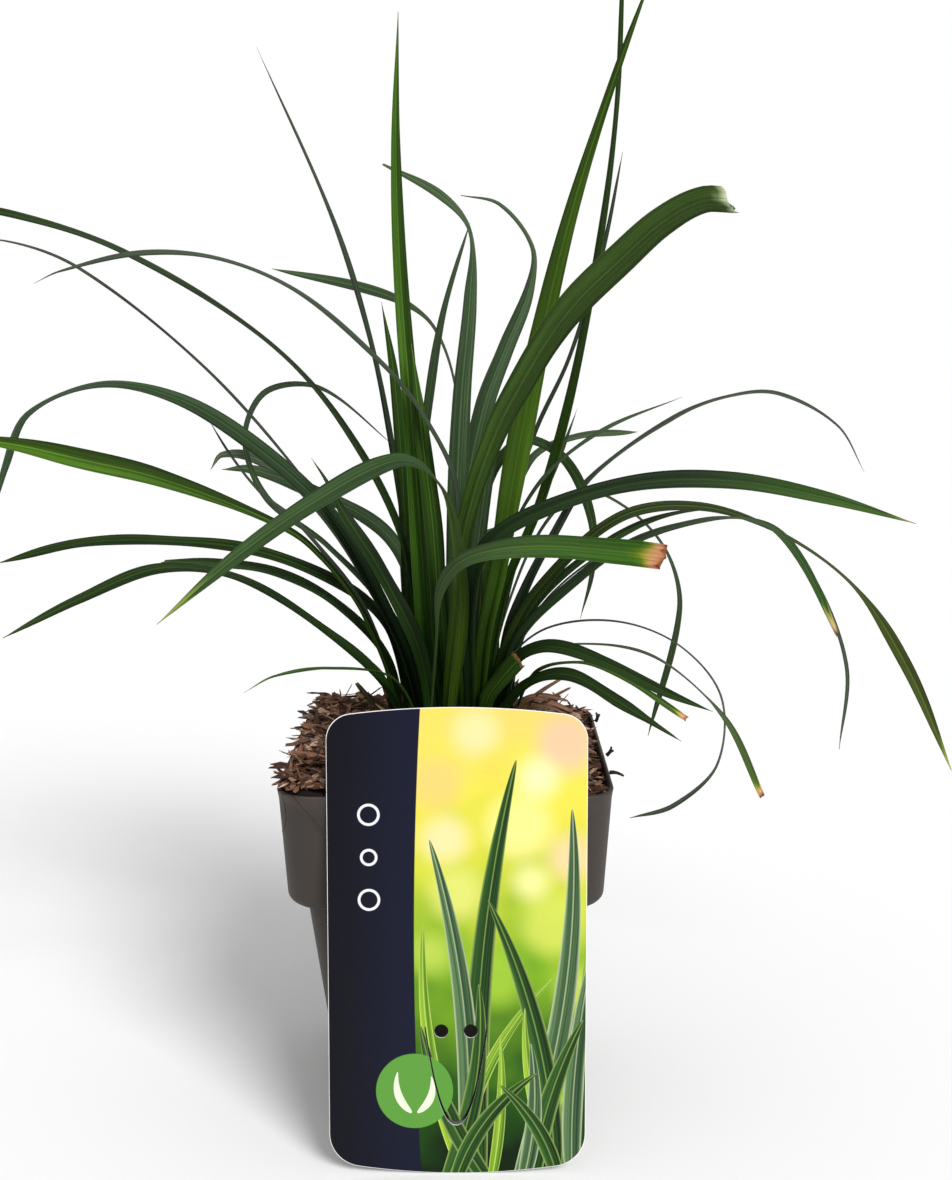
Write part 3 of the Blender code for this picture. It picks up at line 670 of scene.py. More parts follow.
look = Look("shredded_bark", roughness=0.88, specular=0.25)
along, side, seed = look.parts(look.read("grain", 1))
fibres = look.noise(look.join(along * 0.22, side * 3.4, seed), 1.0, 4.0, 0.65)
blotch = look.noise(look.join(along * 0.16, side * 0.5, seed + 7.0), 1.0, 3.0)
colour = look.mix(look.band(fibres, 0.36, 0.66), look.shade(look.read("tone", 0), 0.42),
                  look.shade(look.read("tone", 0), 1.22))
colour = look.shade(colour, 0.65 + blotch * 0.85)
look.feed(Base_Color=colour)
look.bump(fibres, 0.0007, 0.8)
finish_piece(mulch, look.material, "bark", "bark_mulch")


# Crown: the dense dark foot of the tuft, a mound of old leaf sheaths that sits in the bark on
# the root ball. Dry brown stubs of dead sheaths lean outwards all round it.
CROWN_RINGS = 22
CROWN_AROUND = 120
TUFT_FOOT = 118.2
MOUND_EDGE = 125.5
MOUND_RISE = 5.2
MOUND_INSET = 1.5
MOUND_BROWN = (40, 34, 20)
STUBS = 64
STUB_Z = 129.0
STUB_RISE = 0.28
STUB_TONES = ((96, 66, 40), (142, 112, 70), (60, 42, 28), (52, 66, 26), (168, 138, 96))
STUB_ODDS = (0.3, 0.14, 0.32, 0.18, 0.06)

angles = once_round(CROWN_AROUND)
share = np.linspace(1.0, 0.02, CROWN_RINGS)[:, None]
mound_x = CROWN_CENTRE[0] + (CROWN_REACH[0] - MOUND_INSET) * share * np.cos(angles)
mound_y = CROWN_CENTRE[1] + (CROWN_REACH[1] - MOUND_INSET) * share * np.sin(angles)
mound_z = MOUND_EDGE + MOUND_RISE * np.sqrt(np.clip(1 - share ** 2.2, 0, 1))
mound_z = mound_z + 0.5 * rough(mound_x, mound_y, 9, 5.0)
top = np.stack([mound_x, mound_y, mound_z], axis=-1).reshape(-1, 3)
foot = np.stack([mound_x[0], mound_y[0], np.full(CROWN_AROUND, TUFT_FOOT)], axis=1)
mound_points = np.concatenate([foot, top])
mound = build_mesh("tuft_mound", mound_points, grid_quads(CROWN_RINGS + 1, CROWN_AROUND),
                   end_caps(CROWN_RINGS + 1, CROWN_AROUND))
mark(mound, "grain", mound_points[:, (2, 0, 1)] * (1.0, 2.0, 1.0), "FLOAT_VECTOR")
mark_colour(mound, "tone", np.tile(srgb(*MOUND_BROWN), (len(mound_points), 1)))

rng = np.random.default_rng(41)
way = rng.uniform(0, 2 * np.pi, STUBS)
out = rng.uniform(0.62, 1.02, STUBS)
stub_length = rng.uniform(9.0, 26.0, STUBS)
stub_place = np.stack([CROWN_CENTRE[0] + CROWN_REACH[0] * out * np.cos(way),
                       CROWN_CENTRE[1] + CROWN_REACH[1] * out * np.sin(way),
                       STUB_Z + stub_length * STUB_RISE], axis=1)
lean = rng.uniform(0.5, 1.25, STUBS)
stub_points, stub_quads, stub_caps, stub_grain = splinters(
    stub_place, stub_length, rng.uniform(1.2, 4.2, STUBS), rng.uniform(0.4, 0.9, STUBS),
    way, lean, rng.normal(0, 0.6, STUBS), rng.normal(0.02, 0.06, STUBS), 43)
stub_points[:, 1] = np.maximum(stub_points[:, 1], LABEL_CLEAR)
stubs = build_mesh("sheath_stubs", stub_points, stub_quads, stub_caps, smooth=False)
mark(stubs, "grain", stub_grain, "FLOAT_VECTOR")
mark_colour(stubs, "tone", deal_tones(stub_grain[:, 2], 5.5, 500, STUB_TONES, STUB_ODDS, rng))

look = Look("dry_sheath", roughness=0.7, specular=0.35)
along, side, seed = look.parts(look.read("grain", 1))
fibres = look.noise(look.join(along * 0.1, side * 4.5, seed), 1.0, 4.0, 0.65)
colour = look.shade(look.read("tone", 0), 0.35 + look.band(fibres, 0.3, 0.7) * 1.0)
look.feed(Base_Color=colour)
look.bump(fibres, 0.0005, 0.8)
finish_piece(mound, look.material, "sheath_bases", "crown")
finish_piece(stubs, look.material, "sheath_bases")


# Blades: 52 long evergreen leaves of one tuft, tough and glossy, folded to a V at the foot and
# opening to a shallow M with a keel below. They stand up from the crown and arch outwards.
EYE = np.array(CAMERA_PLACE)
FOOT_Z = 131.35
SUNK = 5.0
CURVE_STEPS = 22
BLADE_RINGS = 104
BLADE_SIDES = 15
FULL_FROM = 0.3
FOOT_WIDTH = 0.62
TAPER_BEND = 2.2
POINT_WIDTH = 0.24
BLADE_THICK = 0.34
THICK_FROM = 2.4
KEEL_DEEP = 0.34
KEEL_FROM = 5.0
KEEL_REACH = 0.5
SHOULDER_BEND = 1.95
SHOULDER_FULL = 1.35
MIDRIB_SINK = 0.15
FOLD_AT = (0.0, 0.12, 0.35, 0.7, 1.0)
FOLD_DEEP = (1.15, 0.62, 0.3, 0.2, 0.24)
SWAY = 4.0
REAR_TURN = 60.0
LIT_HEIGHT = 150.0

# Each dress: screen colours of the upper face at the foot, the middle and near the tip, of the
# lighter streaks along it, and of the lower face. The streak colour is also painted light: it
# makes the painted sheen that grows with height above the crown, the painted highlight down the
# midrib and the painted edge highlight on the margins. The grey-green middle tones of arched, duo
# and wiry are painted sheen on the rise of their arches.
DRESSES = {
    "deep": ((28, 66, 11), (26, 53, 9), (32, 62, 12), (78, 110, 36), (48, 74, 32)),
    "dark": ((18, 48, 8), (20, 41, 8), (26, 46, 12), (54, 78, 30), (38, 58, 28)),
    "fresh": ((28, 68, 10), (34, 70, 10), (52, 98, 14), (104, 138, 44), (62, 92, 32)),
    "edged": ((18, 48, 8), (24, 50, 13), (36, 66, 18), (80, 112, 46), (48, 72, 38)),
    "matt": ((34, 78, 17), (42, 66, 34), (56, 82, 40), (68, 94, 50), (70, 98, 22)),
    "olive": ((17, 44, 8), (28, 44, 14), (58, 68, 22), (76, 92, 40), (58, 68, 36)),
    "duo": ((17, 44, 8), (52, 66, 48), (46, 86, 14), (66, 88, 50), (46, 66, 38)),
    "arched": ((28, 66, 12), (58, 78, 48), (54, 104, 14), (84, 116, 46), (60, 84, 40)),
    "wiry": ((26, 40, 18), (66, 72, 58), (62, 98, 22), (76, 92, 50), (60, 70, 48)),
    "dusk": ((18, 44, 10), (26, 40, 26), (58, 100, 12), (54, 76, 36), (44, 62, 36)),
    "spring": ((40, 82, 14), (42, 74, 14), (48, 84, 14), (76, 110, 34), (48, 76, 26)),
    "ash": ((14, 34, 10), (54, 70, 48), (88, 100, 78), (96, 108, 86), (84, 96, 76)),
    "moss": ((30, 70, 12), (38, 62, 13), (56, 78, 32), (70, 98, 38), (55, 80, 28)),
    "sage": ((14, 40, 8), (44, 64, 38), (54, 74, 48), (66, 86, 58), (56, 74, 50)),
    "lime": ((8, 24, 3), (30, 52, 12), (62, 100, 12), (86, 122, 36), (52, 80, 34)),
    "bright": ((34, 66, 9), (62, 94, 17), (12, 36, 4), (72, 100, 28), (56, 84, 30)),
    "blue": ((26, 60, 15), (40, 64, 34), (60, 80, 50), (84, 106, 72), (62, 84, 58)),
    "slate": ((18, 40, 12), (42, 56, 38), (56, 66, 52), (76, 88, 68), (66, 76, 64)),
}

# Each end: pairs of the distance from the tip and the colour there; past the last pair the
# blade's own green takes over within half that distance.
ENDS = {
    "green": ((0.0, (90, 104, 54)), (1.2, (74, 96, 44))),
    "yellowed": ((0.0, (156, 150, 70)), (9.0, (104, 130, 44))),
    "yellow_point": ((0.0, (150, 142, 74)), (11.0, (112, 138, 54))),
    "brown_point": ((0.0, (112, 74, 46)), (2.5, (140, 112, 62)), (5.0, (92, 112, 44))),
    "worn": ((0.0, (110, 108, 84)), (4.0, (84, 100, 70))),
    "bleached": ((0.0, (194, 204, 166)), (0.9, (158, 174, 124)), (2.2, (92, 114, 66))),
    "beige": ((0.0, (150, 112, 74)), (3.0, (196, 172, 118)), (9.0, (140, 150, 70))),
    "torn": ((0.0, (132, 76, 46)), (1.4, (214, 148, 106)), (3.8, (212, 156, 108)),
             (5.2, (176, 160, 62)), (7.6, (96, 124, 26))),
    "cut": ((0.0, (112, 74, 48)), (0.5, (150, 116, 70)), (0.9, (84, 100, 40))),
}

# Each blade: name, dress, width, turn of its upper face towards the eye in degrees at even steps
# from foot to tip, its foot on the crown, and its midrib as (x, z, depth y), with x and z read
# where the sight line meets y = 0. Some have traits of their own: an end other than green, kept
# for the part of its length left by a tear, widths at even steps, full_to for where the taper
# starts, fold for how deep the V is, the half shade share for how much one half is painted lighter
# and the other darker as painted light and painted shade, dark_to for where the painted shade at
# the foot ends and the dress changes tone, middle_at for where the dress changes tone again, slant
# and ragged for the shape of a torn end.
USUAL = {"end": "green", "kept": 1.0, "full_to": 0.58, "fold": 1.0, "painted_half_shade": 0.12,
         "dark_to": 0.08, "middle_at": 0.4, "slant": 0.0, "ragged": 0.5}
BLADES = (
    ("left_high_arch", "dark", 6.0, (50, 30, 19, 17, 22, 30, 50), (-9, 6),
     ((-15, 197, 9), (-37, 242, 22), (-64, 271, 36), (-110, 299, 54), (-147, 311, 66),
      (-164, 312, 71), (-176, 307, 75)), {"full_to": 0.8}),
    ("left_high_slender", "slate", 2.6, (30, 25, 35), (-14, 11),
     ((-24, 182, 18), (-51, 223, 36), (-84, 261, 56), (-124, 293, 76), (-148, 302, 86),
      (-170, 302, 94))),
    ("left_slim_sweep", "slate", 5.0, (30, 20, 22), (3, -5),
     ((3, 218, -6), (-9, 245, -2), (-23, 262, 4), (-50, 285, 16), (-76, 296, 28),
      (-103, 298, 38), (-131, 292, 46), (-140, 288, 48)), {"full_to": 0.8}),
    ("left_broad_arch", "sage", 8.4, (56, 58, 60, 62, 64, 60, 50, 34, 16, 40, 60), (-10, -2),
     ((-14, 155, 0), (-24, 179, 4), (-41, 209, 9), (-65, 232, 16), (-92, 249, 24),
      (-119, 254, 32), (-144, 244, 38), (-153, 226, 40), (-158, 211, 41)),
     {"dark_to": 0.34, "middle_at": 0.6,
      "widths": (4.0, 4.6, 5.2, 5.8, 6.2, 6.4, 5.8, 5.0, 5.2, 5.2, 0.3)}),
    ("left_front_broad", "lime", 7.2, (50, 44, 36, 30, 34, 52, 66, 70, 66, 60, 60), (-17, -4),
     ((-29, 172, -10), (-48, 198, -19), (-65, 208.5, -27), (-100, 222, -44), (-128, 228.8, -58),
      (-152, 234, -70), (-172, 235.5, -78), (-184, 231, -82)),
     {"end": "yellowed", "painted_half_shade": -0.5, "dark_to": 0.3, "middle_at": 0.55,
      "widths": (3.4, 3.6, 3.6, 3.4, 3.2, 3.4, 5.4, 7.0, 6.4, 3.2, 0.2)}),
    ("front_left_arch", "matt", 8.0, (-66, -62, -20, 40, 54, 60), (0, -14),
     ((4, 179, -22), (1, 212, -31), (-7, 225, -38), (-18, 228, -44), (-44, 215, -58),
      (-73, 195, -70), (-103, 170, -80)), {"end": "yellow_point", "fold": 0.7, "middle_at": 0.6}),
    ("left_middle_arch", "dark", 5.4, (50, 42, 48, 46, 42), (-15, 2),
     ((-20, 166, 6), (-34, 182, 11), (-66, 196, 20), (-101, 200, 30), (-129, 199, 36),
      (-158, 192, 40)), {"full_to": 0.84}),
    ("left_low_arch", "dark", 5.0, (60, 36, 26, 50, 56), (-16, -9),
     ((-22, 147, -12), (-40, 165, -18), (-72, 186, -27), (-101, 190, -36), (-130, 179, -44),
      (-158, 165, -52)), {"full_to": 0.72}),
    ("left_low_blunt", "matt", 4.6, (50, 46, 42), (-18, 5),
     ((-22, 158, 9), (-40, 178, 15), (-61, 189, 22), (-83, 192, 28), (-101, 192, 33)),
     {"end": "worn", "kept": 0.92, "full_to": 0.8}),
    ("left_small_low", "edged", 3.0, (15, 12, 30), (-10, -14),
     ((-19, 150, -18), (-42, 154, -26), (-62, 151, -32), (-73, 145, -35)),
     {"end": "yellow_point"}),
    ("left_back_loop", "blue", 4.4, (40, 32, 25), (-11, 12),
     ((-20, 172, 20), (-42, 198, 33), (-63, 215, 46), (-70, 236, 60), (-62, 252, 72),
      (-43, 253, 84), (-18, 233, 96))),
    ("left_back_hook", "ash", 5.0, (44, 56, 72), (-8, 15),
     ((-28, 186, 32), (-51, 219, 50), (-67, 229, 60), (-78, 230, 66), (-82, 225, 68)),
     {"full_to": 0.8}),
    ("left_thin_spike", "slate", 3.6, (30, 30, 10), (-19, 1),
     ((-28, 172, 4), (-51, 205, 12), (-65, 217, 17), (-75, 230, 22), (-82, 242, 26)),
     {"full_to": 0.8}),
    ("left_short_point", "dark", 6.0, (70, 66, 50, 30), (-6, -8),
     ((-10, 160, -7), (-24, 190, -3), (-37, 211, 2), (-42, 221, 5), (-47, 229, 8)),
     {"painted_half_shade": -0.3}),
    ("left_back_grey", "blue", 6.4, (50, 55, 66), (-3, 14),
     ((-11, 182, 30), (-23, 204, 46), (-51, 219, 70), (-68, 225, 84), (-78, 225, 92)),
     {"full_to": 0.75}),
    ("tall_upright", "spring", 9.6, (78, 75, 66, 60), (-6, 1),
     ((-8, 179, 4), (-11, 228, 7), (-15.4, 289, 10), (-16.7, 335, 12), (-15.4, 375, 13)),
     {"painted_half_shade": -0.4, "widths": (5.8, 8.0, 8.8, 7.4, 6.2, 5.4, 4.6, 2.6, 0.2)}),
    ("short_upright", "deep", 6.6, (52, 48, 40), (-13, 8),
     ((-14, 175, 14), (-15, 214, 19), (-18, 256, 24), (-22, 282, 26))),
    ("tall_slender_left", "slate", 3.6, (40, 30, 30), (-8, 11),
     ((-14, 193, 22), (-19, 232, 30), (-26, 269, 37), (-38, 309, 46), (-62, 364, 58))),
    ("back_left_arch", "blue", 5.0, (30, 26, 20, 14, 8, 5, 4, 26, 50, 52, 45), (-2, 18),
     ((2, 190, 36), (4, 246, 56), (-4, 273, 68), (-20, 284, 78), (-59, 293, 96)),
     {"full_to": 0.84}),
    ("back_tall_hook", "blue", 9.0, (75, 74, 72, 70, 68, 66, 60, 44, 6, 40, 50), (3, 11),
     ((3, 200, 22), (5, 249, 31), (8, 283, 38), (8, 305, 44), (-2, 317, 51), (-21, 327, 60)),
     {"widths": (5.6, 7.6, 8.4, 8.4, 8.2, 7.6, 7.0, 6.6, 6.0, 4.6, 1.0)}),
    ("back_slim_upright", "blue", 4.6, (50, 45, 30), (-2, 7),
     ((-7, 193, 14), (-8, 228, 18), (-6, 249, 20), (-1, 278, 22), (8, 308, 24)), {"full_to": 0.8}),
    ("back_right_hook", "blue", 8.4, (60, 62, 64, 66, 66, 66, 66, 60, 28, 24, 30), (8, 14),
     ((6.5, 212, 32), (12.6, 246, 40), (20, 266, 48), (28, 286, 56), (29, 300, 62),
      (18, 314, 70), (5, 317, 76)),
     {"widths": (5.6, 7.0, 8.0, 8.2, 8.2, 8.0, 7.6, 6.4, 4.6, 3.2, 0.4)}),
    ("front_right_broad", "moss", 10.6, (-68, -76, -82, -78, -70), (5, -9),
     ((4, 190, -18), (8.5, 214, -27), (17.5, 239, -42), (26.5, 256, -56), (35, 270, -68),
      (45, 282.8, -82), (59, 296.2, -95), (72, 307.8, -106), (86, 315.3, -120), (98, 315, -128)),
     {"end": "bleached", "kept": 0.86, "painted_half_shade": 0.2, "slant": 0.24, "ragged": 0.12,
      "widths": (4.6, 5.4, 5.8, 6.4, 7.6, 8.5, 8.9, 8.3, 6.0)}),
    ("right_tall_upright", "bright", 8.6, (68, 70, 60), (11, -12),
     ((13, 164, -14), (18, 189, -15), (23, 221, -15), (32, 269, -13), (42, 311, -11),
      (56, 355, -9), (68, 388, -8)),
     {"painted_half_shade": 0.24, "middle_at": 0.38,
      "widths": (4.8, 5.4, 6.4, 7.6, 9.0, 8.6, 7.0, 5.0, 3.4, 2.4, 0.3)}),
    ("right_slim_upright", "deep", 4.6, (45, 35, 30), (14, 4),
     ((20, 180, 8), (33, 214, 11), (44, 256, 14), (53, 309, 17), (57, 347, 19), (58, 386, 20)),
     {"widths": (3.6, 4.4, 4.8, 5.0, 5.2, 5.4, 5.0, 4.4, 4.0, 3.8, 2.4)}),
    ("right_thin_upright", "slate", 3.2, (40, 30, 30), (10, 9),
     ((18, 190, 20), (30, 236, 26), (42, 263, 30), (53, 299, 34), (59, 331, 37)),
     {"full_to": 0.8}),
    ("right_short_tip", "blue", 3.2, (30, 30, 30), (14, 9),
     ((23, 187, 18), (33, 214, 24), (39, 229, 28), (45, 246, 32)), {"full_to": 0.75}),
    ("right_back_level", "blue", 5.2, (20, 32, 32), (12, 14),
     ((20, 200, 40), (29, 228, 56), (44, 236, 70), (66, 238, 88)), {"full_to": 0.86}),
    ("right_thin_rising", "blue", 4.2, (20, 16, 16), (10, 0),
     ((18, 190, 1), (32, 220, 3), (53, 238, 6), (81, 250, 10)), {"full_to": 0.7}),
    ("right_slim_arc", "slate", 6.4, (62, 44, 22, 12, 10, 22), (18, 8),
     ((22, 166, 12), (28, 183, 18), (36, 199, 25), (50, 222, 36), (78, 242.6, 54), (96, 250, 64),
      (114, 251, 74), (135, 240, 84), (145, 224, 88))),
    ("right_long_broad", "dusk", 7.4, (40, 46, 50, 48), (9, -17),
     ((8, 179, -20), (14, 198, -23), (32, 210, -26), (65, 220, -30), (99, 221, -34),
      (132, 215, -38), (164, 206, -42)),
     {"end": "brown_point", "full_to": 0.66, "painted_half_shade": 0.16, "middle_at": 0.66}),
    ("right_long_arch", "olive", 7.4, (60, 56, 52, 46, 40, 28, 12, 10, 62, 64, 60), (16, 1),
     ((20, 158, 2), (32, 182, 5), (60, 208, 11), (88, 212, 17), (116, 203, 23), (143, 184, 28),
      (164, 154, 31), (182, 116, 34)),
     {"end": "yellowed", "fold": 0.6,
      "widths": (4.2, 5.4, 5.6, 5.6, 5.6, 5.4, 4.8, 4.6, 5.0, 4.0, 0.3)}),
    ("right_pale_short", "matt", 4.8, (40, 34, 20), (19, 4),
     ((27, 170, 8), (40, 187, 11), (66, 205, 17), (88, 211, 23), (102, 209, 27))),
    ("right_brown_tipped", "duo", 6.6, (60, 56, 50, 44, 38, 34, 20, 14, 46, 56, 60), (20, -4),
     ((24, 162, -4), (40, 181, -4), (66, 200, -5), (97, 208, -7), (113, 205, -8), (125, 192, -9),
      (139, 165, -10)),
     {"end": "beige", "kept": 0.93, "middle_at": 0.6,
      "widths": (3.6, 4.4, 4.6, 4.6, 4.6, 4.4, 4.0, 3.8, 3.7, 3.2, 1.5)}),
    ("right_threadlike", "slate", 2.4, (30, 14, 12, 50), (23, 1),
     ((29, 170, 2), (54, 195, 6), (90, 208, 11), (112, 205, 14), (127.5, 189.5, 16),
      (142, 155, 18), (141, 124, 19)), {"full_to": 0.86}),
    ("front_cut_broad", "arched", 8.0, (4, 8, 40, 62, 66), (-6, -17),
     ((-4, 164, -22), (-3, 181, -29), (3, 191, -36), (14, 196, -44), (33, 198, -56),
      (61, 196, -76), (77, 194, -88)),
     {"end": "torn", "kept": 0.62, "fold": 0.3, "ragged": 0.35, "middle_at": 0.55}),
    ("right_drooping_back", "dark", 4.8, (16, 12, 10, 10, 12, 40, 60), (14, 13),
     ((26, 190, 36), (45, 217, 56), (62, 212, 66), (77, 196, 74), (82, 175, 76), (72, 129, 76)),
     {"full_to": 0.8, "fold": 0.4}),
    ("right_hooked", "dark", 6.2, (45, 38, 30), (5, 4),
     ((9, 195, 9), (16, 224, 13), (27, 235, 16), (41, 228, 20), (50, 209, 23), (51, 190, 25),
      (47, 172, 26)), {"full_to": 0.66}),
    ("right_round_loop", "slate", 2.6, (30, 12, 8, 6, 4, 4, 6, 40, 50), (16, -7),
     ((22, 157, -9), (36, 169, -10), (61, 171, -8), (83, 162, -4), (98, 143, 2), (97, 118, 5),
      (82, 103, 2), (66, 98, -2)), {"full_to": 0.9}),
    ("right_low_slender", "wiry", 2.9, (16, 12, 8, 8, 10, 12, 10, 10, 44, 56, 56), (21, -7),
     ((27, 158, -9), (48, 163, -12), (74, 158, -16), (99, 136, -20), (114, 106, -24)),
     {"end": "torn", "kept": 0.84, "full_to": 0.7, "fold": 0.4, "middle_at": 0.66}),
    ("right_low_broad", "dark", 6.6, (25, 40, 42), (18, -11),
     ((24, 156, -14), (36, 162, -19), (56, 156, -27), (78, 145, -36), (95, 138, -42))),
    ("right_lowest", "dark", 6.2, (30, 38, 40), (15, -16),
     ((24, 144, -20), (34, 151, -25), (45, 151, -30), (62, 141, -38), (84, 127, -48))),
    ("right_low_cut", "deep", 2.8, (12, 26, 50), (24, -5),
     ((31, 152, -7), (48, 156, -11), (65, 149, -16), (86, 135, -22)),
     {"end": "torn", "kept": 0.84, "full_to": 0.7}),
    ("cut_stub", "deep", 6.8, (60, 65, 68), (12, -16),
     ((14, 142, -18), (19, 150, -20), (26, 158, -23)),
     {"end": "cut", "kept": 0.34, "ragged": 0.2}),
    ("rear_high_arch", "blue", 7.0, None, (4, 19),
     ((9, 206, 48), (8, 229, 84), (6, 226, 120), (4, 204, 150), (3, 190, 162))),
    ("rear_left_arch", "deep", 6.6, None, (-12, 17),
     ((-13, 177, 42), (-14, 199, 74), (-13, 202, 108), (-12, 184, 140)), {"end": "brown_point"}),
    ("rear_middle", "fresh", 6.4, None, (-5, 19),
     ((-5, 167, 50), (-6, 173, 88), (-6, 162, 130), (-6, 152, 156))),
    ("rear_right_arch", "deep", 7.0, None, (11, 19),
     ((12, 190, 46), (14, 204, 84), (14, 195, 128), (13, 176, 164))),
    ("rear_low_droop", "blue", 6.0, None, (0, 20),
     ((3, 158, 52), (5, 160, 86), (6, 148, 118), (6, 133, 140)), {"end": "yellowed"}),
    ("rear_short", "edged", 5.0, None, (17, 15),
     ((16, 168, 40), (17, 182, 68), (16, 177, 98), (15, 166, 120))),
    ("inner_left", "deep", 7.0, (62, 60, 55), (-1, -5),
     ((-3, 170, -3), (-5, 205, 0), (-9, 240, 2), (-12, 268, 3))),
    ("inner_right", "blue", 6.4, (60, 60, 50), (8, -5),
     ((8, 165, -6), (11, 200, -6), (16, 232, -5), (22, 252, -4))),
)


def unit(vectors):
    """Vectors at length one."""
    return vectors / np.linalg.norm(vectors, axis=-1, keepdims=True)


def cubic(s, start, leave, stop, arrive):
    """The cubic from start to stop over s from 0 to 1, with a slope given at each end."""
    return ((1 + 2 * s) * (1 - s) ** 2 * start + s * (1 - s) ** 2 * leave
            + s ** 2 * (3 - 2 * s) * stop + s ** 2 * (s - 1) * arrive)


def midrib(foot, seen_points):
    """A smooth line up from the crown through the seen points, and the length along it.

    Each seen point moves along its sight line to its depth. Between knots the line is the cubic
    that has the knots' places and slopes, where a slope is the chord between the neighbours
    over the length of the two spans, the first slope is straight up and the last is the
    last chord. A short straight piece below the foot sinks it into the crown.
    """
    seen = np.array(seen_points, float)
    flat = np.stack([seen[:, 0], np.zeros(len(seen)), seen[:, 1]], axis=1)
    real = EYE + (flat - EYE) * ((seen[:, 2] - EYE[1]) / -EYE[1])[:, None]
    knots = np.concatenate([[(*foot, FOOT_Z)], real])
    spans = np.linalg.norm(np.diff(knots, axis=0), axis=1)
    at = np.concatenate(([0.0], np.cumsum(spans)))
    slopes = np.zeros_like(knots)
    slopes[0] = (0.0, 0.0, 1.0)
    slopes[-1] = (knots[-1] - knots[-2]) / spans[-1]
    slopes[1:-1] = (knots[2:] - knots[:-2]) / (at[2:] - at[:-2])[:, None]
    s = np.linspace(0.0, 1.0, CURVE_STEPS, endpoint=False)[None, :, None]
    span = spans[:, None, None]
    fine = cubic(s, knots[:-1, None], span * slopes[:-1, None],
                 knots[1:, None], span * slopes[1:, None])
    fine = np.concatenate([knots[:1] - (0.0, 0.0, SUNK), fine.reshape(-1, 3), knots[-1:]])
    run = np.concatenate(([0.0], np.cumsum(np.linalg.norm(np.diff(fine, axis=0), axis=1))))
    return fine, run


def between_stations(share, values):
    """A smooth curve through evenly spaced values, read at any share of the way.

    Between two stations it is the cubic whose slope at each is half the difference between
    the stations on both sides of it.
    """
    values = np.asarray(values, float)
    place = np.clip(share, 0.0, 1.0) * (len(values) - 1)
    near = np.minimum(place.astype(int), len(values) - 2)
    s = place - near
    wide = np.concatenate([2 * values[:1] - values[1:2], values, 2 * values[-1:] - values[-2:-1]])
    slopes = (wide[2:] - wide[:-2]) / 2
    return cubic(s, values[near], slopes[near], values[near + 1], slopes[near + 1])


def step_between(value, low, high):
    """0 below low and 1 above high, with a smooth step between them."""
    share = np.clip((value - low) / (high - low), 0.0, 1.0)
    return share * share * (3 - 2 * share)


def follow(share, at, values):
    """Rows of values read at any share along the line, straight between the stations."""
    return np.stack([np.interp(share, at, values[:, axis]) for axis in range(3)], axis=-1)


def blade_frames(spine, run, turn, foot, tip_x, rng):
    """Unit vectors across the blade and out of its upper face along the midrib, and its turn.

    The face turns about the midrib by the given angle from edge-on towards the eye, plus
    a slow random sway; without given angles it lies level across its heading.
    """
    along = unit(np.gradient(spine, axis=0))
    at = run / run[-1]
    if turn is None:
        heading = spine[-1] - spine[0]
        level = unit(np.array((heading[1], -heading[0], 0.0)))
        across = unit(level - along * (along @ level)[:, None])
        return across, np.cross(across, along), np.full(len(run), REAR_TURN)
    side = 1.0 if tip_x > foot[0] else -1.0
    sway = SWAY * np.sin(at * rng.uniform(5, 9) + rng.uniform(0, 6.28)) * np.minimum(at * 4, 1)
    facing = between_stations(at, turn) + sway
    angle = np.radians(90.0 + side * facing)[:, None]
    edgeways = unit(np.cross(along, spine - EYE))
    across = np.cos(angle) * edgeways + np.sin(angle) * np.cross(along, edgeways)
    return across, side * np.cross(across, along), facing


def blade_width(width, share, kept, full_to):
    """Narrow at the foot, full from a third of the way, then a long taper to a fine point.

    The rise is the smooth step of the share; the taper falls with a power of the way from
    full_to to the tip.
    """
    part = share * kept
    body = FOOT_WIDTH + (1 - FOOT_WIDTH) * step_between(part, 0.0, FULL_FROM)
    taper = np.maximum(part - full_to, 0.0) / (1 - full_to)
    return np.maximum(width * body * (1 - taper ** TAPER_BEND), POINT_WIDTH)


